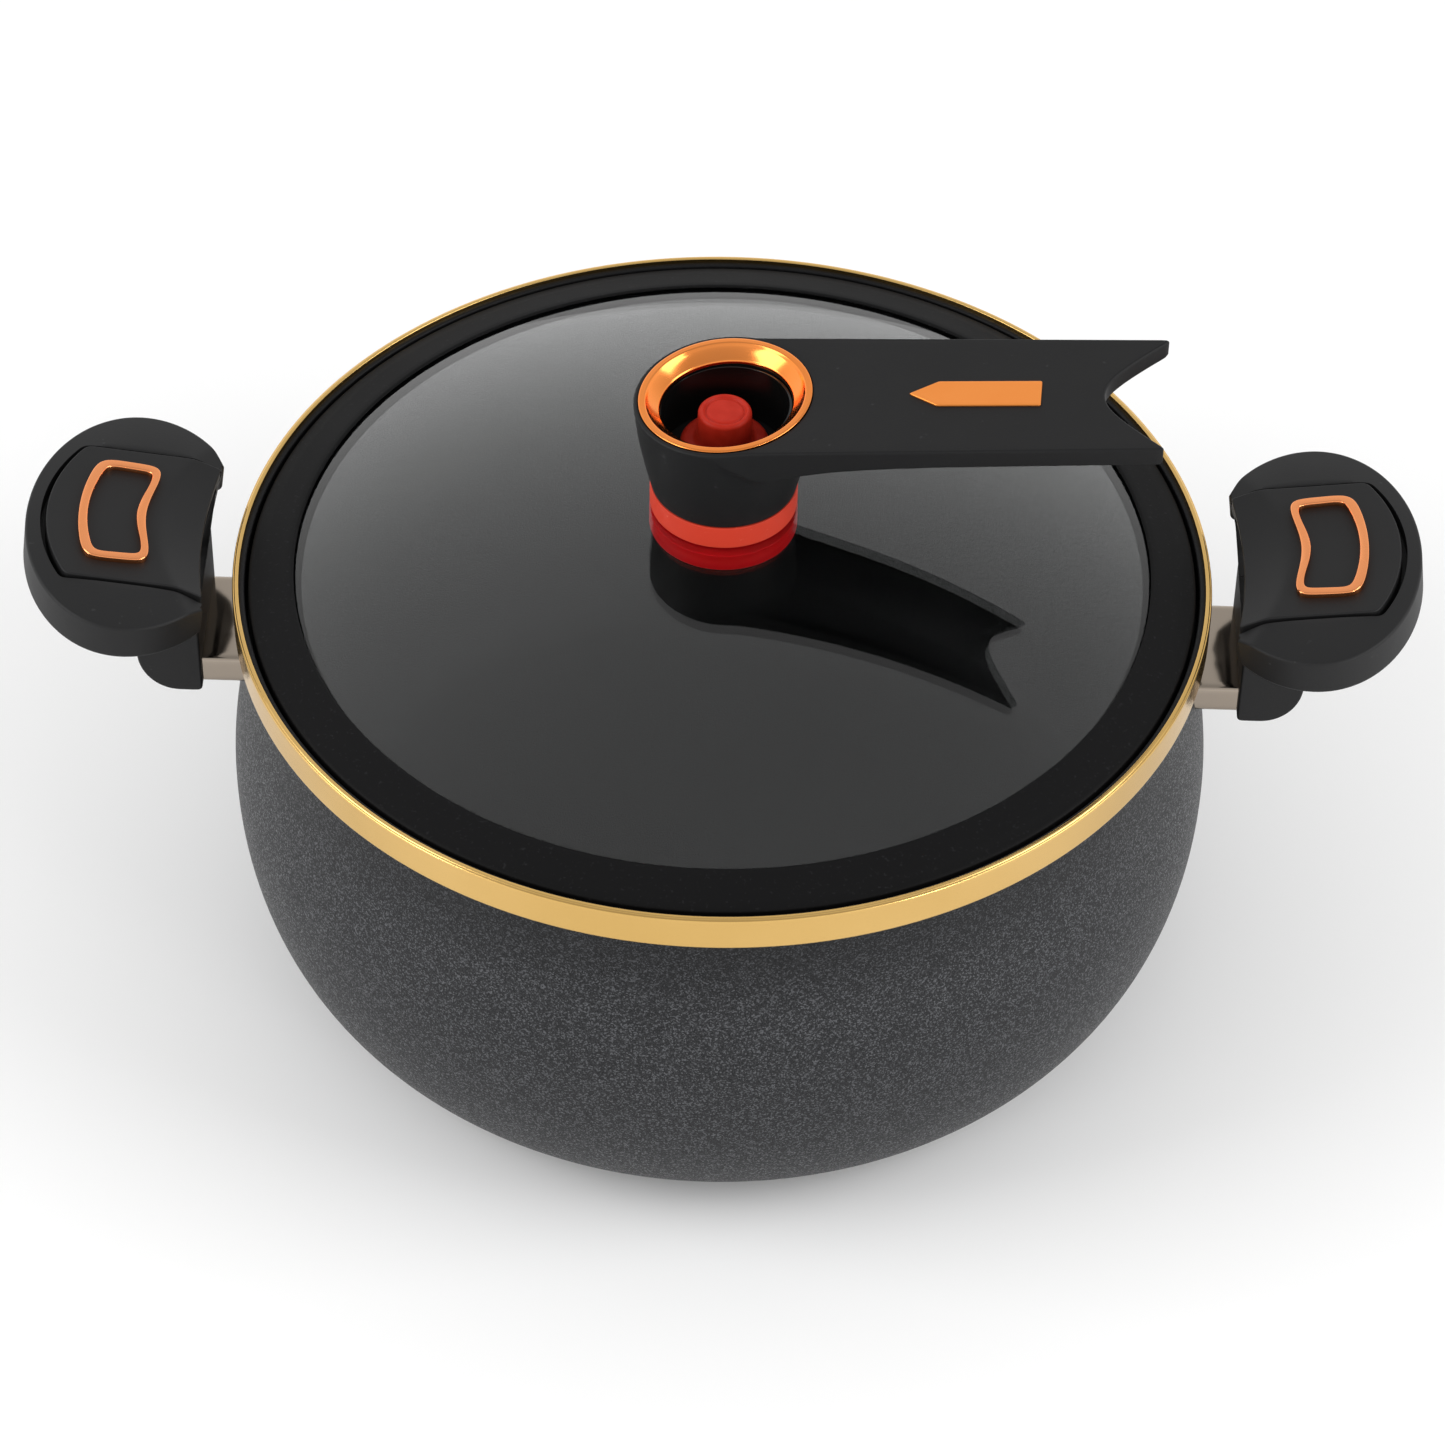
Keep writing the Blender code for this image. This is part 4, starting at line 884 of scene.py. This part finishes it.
channel = channel_line(0.75 * MM, 1.5 * MM)
channel_limit = np.arctan2(*(channel[-1] - hub)[::-1])
share = np.linspace(-1, 1, 241)
outer_rim = plan_ray(outside_arc, hub, share * limit)
channel_rim = plan_ray(channel, hub, share * channel_limit)
tongue_half, tongue_out = slab_half - 4 * MM, slab_out - 3.8 * MM
tongue_rim = np.stack(
    [
        np.minimum(channel_rim[:, 0], tongue_out + 0.4 * MM),
        np.clip(channel_rim[:, 1], -tongue_half, tongue_half),
    ],
    1,
)
spine = np.stack([tongue_rim[:, 0].clip(None, shell_mid + 14 * MM), 0 * share], 1)
spine[:, 0] = np.where(np.abs(share) > 0.999, arc_r, spine[:, 0])
past_arc = np.sqrt(np.maximum(arc_r**2 - tongue_rim[:, 1] ** 2, 0))
tongue_rim[:, 0] = np.maximum(tongue_rim[:, 0], past_arc)


def crown(flat):
    """Height of the shell's top: highest beside the channel, lower at the outer edge, and fallen
    towards the pot."""
    near = np.hypot((flat[:, 0] - shell_mid) / shell_out, flat[:, 1] / shell_half)
    lower = (shell_crown - shell_edge_top) * (near - 0.62).clip(0, 0.4) ** 1.6 * 4.3
    return shell_crown - lower - fall(*flat.T)


def level(flat, z):
    """Plan points given a height, which is one value or a value for each point."""
    return np.concatenate([flat, np.broadcast_to(np.asarray(z, float).reshape(-1, 1), (len(flat), 1))], 1)


def square_to(line):
    """Unit vectors square to an open line that runs anticlockwise, towards its inside."""
    along = np.gradient(line, axis=0)
    along /= np.linalg.norm(along, axis=1)[:, None]
    return np.stack([-along[:, 1], along[:, 0]], 1)


inside = square_to(outer_rim)
floor_top, step_z = 1.7 * MM, 4.2 * MM
low_round, top_round = 1.3 * MM, 0.9 * MM
low_in = outer_rim + inside * low_round
rows = [level(spine, shell_low)]
rows += [level(spine + (low_in - spine) * s, shell_low) for s in (0.35, 0.7, 1.0)]
rows += [
    level(low_in - inside * low_round * math.sin(a), shell_low + low_round * (1 - math.cos(a)))
    for a in quarter[1:]
]
edge_top = crown(outer_rim + inside * top_round)
side_high = edge_top - top_round - shell_low - low_round
rows += [level(outer_rim, shell_low + low_round + side_high * s) for s in (0.5, 0.97)]
rows += [
    level(outer_rim + inside * top_round * (1 - math.cos(a)), edge_top - top_round * (1 - math.sin(a)))
    for a in quarter
]
start_top = outer_rim + inside * top_round
for s in (0.15, 0.35, 0.6, 0.85, 0.97):
    flat = start_top + (channel_rim - start_top) * s
    rows.append(level(flat, crown(flat)))
rows.append(level(channel_rim, crown(channel_rim) - 0.3 * MM))
rows += [level(channel_rim, step_z), level(tongue_rim, step_z), level(tongue_rim, floor_top)]
rows += [level(tongue_rim + (spine - tongue_rim) * s, floor_top) for s in (0.5, 1.0)]
grid = np.stack(rows)


def with_ends(grid):
    """Closes the two ends of an open moulding by carrying its end sections to their own middles."""
    first, last = ((end + end[::-1]) / 2 for end in (grid[:, :1], grid[:, -1:]))
    return np.concatenate([first, grid, last], 1)


slide_x, travel = slab_out - 10.8 * MM, 14 * MM


def box_points(low, high):
    """The eight corners of a box, as a two-by-two-by-two grid."""
    x, y, z = np.meshgrid(*[np.array(pair) for pair in zip(low, high)], indexing="ij")
    return np.stack([x, y, z], -1)


def cut(piece, corners):
    """Takes a hollow with eight given corners out of a piece and keeps the result as its mesh."""
    flat = corners.reshape(-1, 3)
    faces = [(0, 1, 3, 2), (4, 6, 7, 5), (0, 4, 5, 1), (2, 3, 7, 6), (0, 2, 6, 4), (1, 5, 7, 3)]
    mesh = bpy.data.meshes.new("hollow")
    mesh.from_pydata(flat, [], faces)
    tool = bpy.data.objects.new("hollow", mesh)
    bpy.context.scene.collection.objects.link(tool)
    taken = piece.modifiers.new("hollow", "BOOLEAN")
    taken.operation, taken.solver, taken.object = "DIFFERENCE", "EXACT", tool
    evened = piece.modifiers["even shading"]
    evened.show_viewport = False
    bpy.context.view_layer.update()
    result = bpy.data.meshes.new_from_object(piece.evaluated_get(bpy.context.evaluated_depsgraph_get()))
    evened.show_viewport = True
    piece.modifiers.remove(taken)
    piece.data = result
    bpy.data.objects.remove(tool)


keeper_way = box_points(
    (slide_x - travel - 5.0 * MM, -7.4 * MM, shell_low - 6 * MM), (slide_x + 5.0 * MM, 7.4 * MM, 0.5 * MM)
)
screw_way = box_points(
    (slide_x - travel - 2.1 * MM, -2.1 * MM, -1 * MM), (slide_x + 2.1 * MM, 2.1 * MM, 3 * MM)
)
for side, points in sides(on_grip(with_ends(grid))):
    grip = closed_surface(
        f"{side}_grip", points, "pot", shell_black, [f"{side}_handle_shell"],
        round_rows=False, round_columns=True,
    )
    for way in (keeper_way, screw_way):
        cut(grip, dict(sides(on_grip(way)))[side])

# --------------------------------------------------------------------------------------------------
# Handle necks: the moulded block under each shell, flat against the pot side and rounded under the
# fingers.


def upright_moulding(line, half, edge):
    """The grid of a moulding whose outline lies in X and Z and which runs across from -half to half,
    with rounded edges."""
    normal = inward(line)
    arc = np.linspace(0, math.pi / 2, 6)
    middle = line.mean(0)
    centre = np.broadcast_to(middle, line.shape)
    steps = [(line + normal * edge * (1 - math.sin(a)), half - edge * (1 - math.cos(a))) for a in arc]
    steps.insert(0, (centre, half))
    sections = [(flat, -y) for flat, y in steps] + steps[::-1]
    return np.stack([np.stack([flat[:, 0], np.full(len(flat), y), flat[:, 1]], 1) for flat, y in sections])


neck_in = arc_r - 0.3 * MM
neck_out, neck_low = neck_in + 17.5 * MM, rim - 35.3 * MM


def under_grip(x):
    """Height of the grip's tilted underside over a distance from the axis, less a 0.3 mm gap."""
    return rim + (shell_low - 0.3 * MM) / math.cos(grip_tilt) + (x - arc_r) * math.tan(grip_tilt)


under_finger = np.linspace(-math.pi / 2, 0, 24)
curve = np.stack(
    [neck_out - 11 * MM * (1 - np.cos(under_finger)), neck_low + 13 * MM * (1 + np.sin(under_finger))],
    1,
)
line = np.concatenate(
    [
        [(neck_in + 0.8 * MM, under_grip(neck_in + 0.8 * MM)), (neck_in, rim - 8 * MM), (neck_in, neck_low)],
        curve,
        [(neck_out, under_grip(neck_out))],
    ]
)
line = rounded(line, 1.1 * MM, 240)
for side, points in sides(upright_moulding(line, 19.0 * MM, 0.7 * MM)):
    closed_surface(f"{side}_neck", points, "pot", shell_black, [f"{side}_handle_neck"])

# --------------------------------------------------------------------------------------------------
# Ferrules: polished stainless sleeves between pot and neck, flattened ovals in section, with their
# inner ends shaped to the wall.

polished, shader, place = finish("polished stainless", (0.33, 0.28, 0.23), 0.08, 1.0)
feed(shader, "Roughness", 0.05 + noise(place, 70.0, 4.0) * 0.08)
feed(shader, "Normal", bump(place, noise(place, 35.0, 3.0), 0.0002, 0.15))
ferrule_top, ferrule_high, ferrule_half = rim - 24.6 * MM, 9.0 * MM, 17.0 * MM
section = rounded(
    np.array(
        [
            (-ferrule_half, ferrule_top - ferrule_high),
            (ferrule_half, ferrule_top - ferrule_high),
            (ferrule_half, ferrule_top),
            (-ferrule_half, ferrule_top),
        ]
    ),
    1.0 * MM,
    160,
)
bore = section + inward(section) * 1.2 * MM


def wall_radius(z):
    """Outer radius of the pot's wall at a height, read off its profile."""
    return np.interp(-z, -outer_wall[:, 1], outer_wall[:, 0])


def at_wall(flat, out):
    """Carries a section in Y and Z outwards along X, from the wall or to a flat end."""
    start = np.sqrt(wall_radius(flat[:, 1]) ** 2 - flat[:, 0] ** 2) + 0.15 * MM
    end = np.full(len(flat), neck_in + 5.7 * MM)
    return np.stack([start + (end - start) * out, flat[:, 0], flat[:, 1]], 1)


grid = np.stack([at_wall(section, s) for s in (0, 0.03, 0.5, 1)] + [at_wall(bore, s) for s in (1, 0.5, 0)])
for side, points in sides(grid):
    closed_surface(
        f"{side}_sleeve", points, "pot", polished, [f"{side}_ferrule"], round_columns=True
    )

# --------------------------------------------------------------------------------------------------
# Lock slabs: the sliding thumb plates. Each fills its channel, and its pot end follows the rim.

slab_black, shader, place = finish(
    "slab moulding", (0.0100, 0.0100, 0.0104), 0.47, 0.0, Specular_IOR_Level=0.22
)
grain = noise(place, 1700.0, 3.0, 0.6)
shaded = noise(place, 50.0, 4.0).blend((0.0092, 0.0092, 0.0096, 1), (0.0112, 0.0112, 0.0116, 1))
feed(shader, "Base Color", shaded)
feed(shader, "Roughness", 0.42 + noise(place, 40.0, 5.0) * 0.14)
feed(shader, "Normal", bump(place, grain, 0.00004, 0.4))
line = channel_line(0.0, 0.0)
sweep = np.linspace(slab_half, -slab_half, 41)[1:-1]
line = np.concatenate([line, np.stack([np.sqrt(arc_r**2 - sweep**2), sweep], 1)])
line = rounded(line, 0.5 * MM, 320)


def slab_height(flat):
    """Height of the slab's top at plan points: level, less the handle's fall towards the pot."""
    return slab_top - fall(*flat.T)


grid = moulded(line, slab_height, 4.4 * MM, 0.45 * MM, rows=26, centre=(shell_mid, 0))
for side, points in sides(on_grip(grid)):
    closed_surface(
        f"{side}_thumb_slab", points, f"{side}_lock", slab_black, [f"{side}_lock_slab"]
    )

# --------------------------------------------------------------------------------------------------
# Slab frames: copper-plated frames pressed onto the slabs. Both long bars bow away from the pot.

rose, shader, place = finish("rose copper", (0.90, 0.33, 0.12), 0.20, 1.0)
feed(shader, "Base Color", noise(place, 60.0, 3.0).blend((0.88, 0.31, 0.11, 1), (0.93, 0.36, 0.15, 1)))
feed(shader, "Roughness", 0.16 + noise(place, 160.0, 3.0) * 0.08)
frame_in, frame_out = slab_out - 29.9 * MM, slab_out - 8.5 * MM
bar, low, high = 2.6 * MM, slab_top + 0.05 * MM, slab_top + 1.75 * MM
rays = np.linspace(-math.pi, math.pi, 360, endpoint=False)
middle = np.array([(frame_in + frame_out) / 2, 0.0])


def frame_loop(inset, reach):
    """The frame's plan inset all round: an outer and an inner bar, both bowed outwards, their ends
    joined by straight bars, with worn corners, as met by rays from the middle."""
    v = np.linspace(-1, 1, 7)
    outer_bar = np.stack([frame_out - inset - 3.4 * MM * v**2, (slab_half - 6.1 * MM - inset) * v], 1)
    bow = 1.6 * MM * (1 + np.cos(np.pi * v))
    inner_bar = np.stack([frame_in + inset + bow, (slab_half - 6.8 * MM - inset) * v], 1)
    off = rounded(np.concatenate([outer_bar, inner_bar[::-1]]), reach, 400) - middle
    bearing = np.arctan2(off[:, 1], off[:, 0])
    far = np.interp(rays, bearing, np.linalg.norm(off, axis=1), period=TAU)
    return middle + far[:, None] * np.stack([np.cos(rays), np.sin(rays)], 1)


loop, window = frame_loop(0.0, 3.2 * MM), frame_loop(bar, 1.8 * MM)
crest = np.array([(0, 0), (0, 0.75), (0.06, 0.93), (0.16, 1), (0.84, 1), (0.94, 0.93), (1, 0.75), (1, 0)])
grid = np.stack([level(loop + (window - loop) * s, low + (high - low) * h) for s, h in crest])
for side, points in sides(on_grip(grid)):
    closed_surface(
        f"{side}_copper_frame", points, f"{side}_lock", rose, [f"{side}_slab_frame"],
        round_columns=True,
    )

# --------------------------------------------------------------------------------------------------
# Lock tongues: flat steel plates under the slabs. Slid in, they lie over the seal ring's edge.

y = np.linspace(-tongue_half, tongue_half, 41)
line = np.concatenate(
    [
        np.stack([np.sqrt((arc_r + 0.3 * MM) ** 2 - y**2), y], 1)[::-1],
        [(tongue_out - 4 * MM, -tongue_half), (tongue_out, -tongue_half + 4 * MM)],
        [(tongue_out, tongue_half - 4 * MM), (tongue_out - 4 * MM, tongue_half)],
    ]
)
line = rounded(line, 0.4 * MM, 240)
grid = moulded(line, lambda p: np.full(len(p), 4.0 * MM), 2.0 * MM, 0.3 * MM, 0.3 * MM)
for side, points in sides(on_grip(grid)):
    closed_surface(
        f"{side}_latch_plate", points, f"{side}_lock", polished, [f"{side}_lock_tongue"]
    )

# --------------------------------------------------------------------------------------------------
# Studio: a pale floor, an even pale room, two soft boxes high at the sides and two small low ones.

floor_mesh = bpy.data.meshes.new("floor")
floor_mesh.from_pydata([(-6, -6, 0), (6, -6, 0), (6, 6, 0), (-6, 6, 0)], [], [(0, 1, 2, 3)])
floor = bpy.data.objects.new("floor", floor_mesh)
bpy.context.scene.collection.objects.link(floor)
paper, shader, place = finish("white paper", (0.93, 0.93, 0.93), 0.9)
feed(shader, "Base Color", noise(place, 3.0, 2.0).blend((0.92, 0.92, 0.92, 1), (0.94, 0.94, 0.94, 1)))
floor.data.materials.append(paper)

room = bpy.data.worlds.new("room")
room.use_nodes = True
tree = room.node_tree
sky = Wire(tree, tree.nodes.new("ShaderNodeTexCoord").outputs["Generated"])
rise = sky.node("SeparateXYZ", None, Vector=sky).output("Z")
lobe = sky.node("VectorMath", {"operation": "DOT_PRODUCT"}, in0=sky, in1=(-0.45, 0.86, 0.25)).output("Value")
glow = 0.58 + rise.between(0.10, 1.0, 0.55, 0.0) + lobe.between(0.30, 1.0, 0.0, 0.12)
tree.nodes["Background"].inputs["Color"].default_value = (1, 1, 1, 1)
tree.links.new(glow.socket, tree.nodes["Background"].inputs["Strength"])
bpy.context.scene.world = room


def soft_box(name, where, target, size, power):
    """A rectangular area lamp at a place, turned to face a target."""
    lamp = bpy.data.lights.new(name, "AREA")
    lamp.shape, lamp.size, lamp.size_y, lamp.energy = "RECTANGLE", *size, power
    made = bpy.data.objects.new(name, lamp)
    made.location = where
    made.rotation_euler = (Vector(target) - Vector(where)).to_track_quat("-Z", "Y").to_euler()
    bpy.context.scene.collection.objects.link(made)


soft_box("left_box", (-1.45, -0.35, 1.05), (0, 0, 0.08), (1.0, 1.0), 12.0)
soft_box("right_box", (1.45, -0.35, 1.05), (0, 0, 0.08), (1.0, 1.0), 12.0)
soft_box("low_right", (1.05, -1.15, 0.24), (0, 0, 0.10), (0.30, 0.22), 4.0)
soft_box("low_left", (-1.30, -0.90, 0.24), (0, 0, 0.10), (0.30, 0.22), 2.5)
bpy.context.scene.view_settings.view_transform = "Standard"
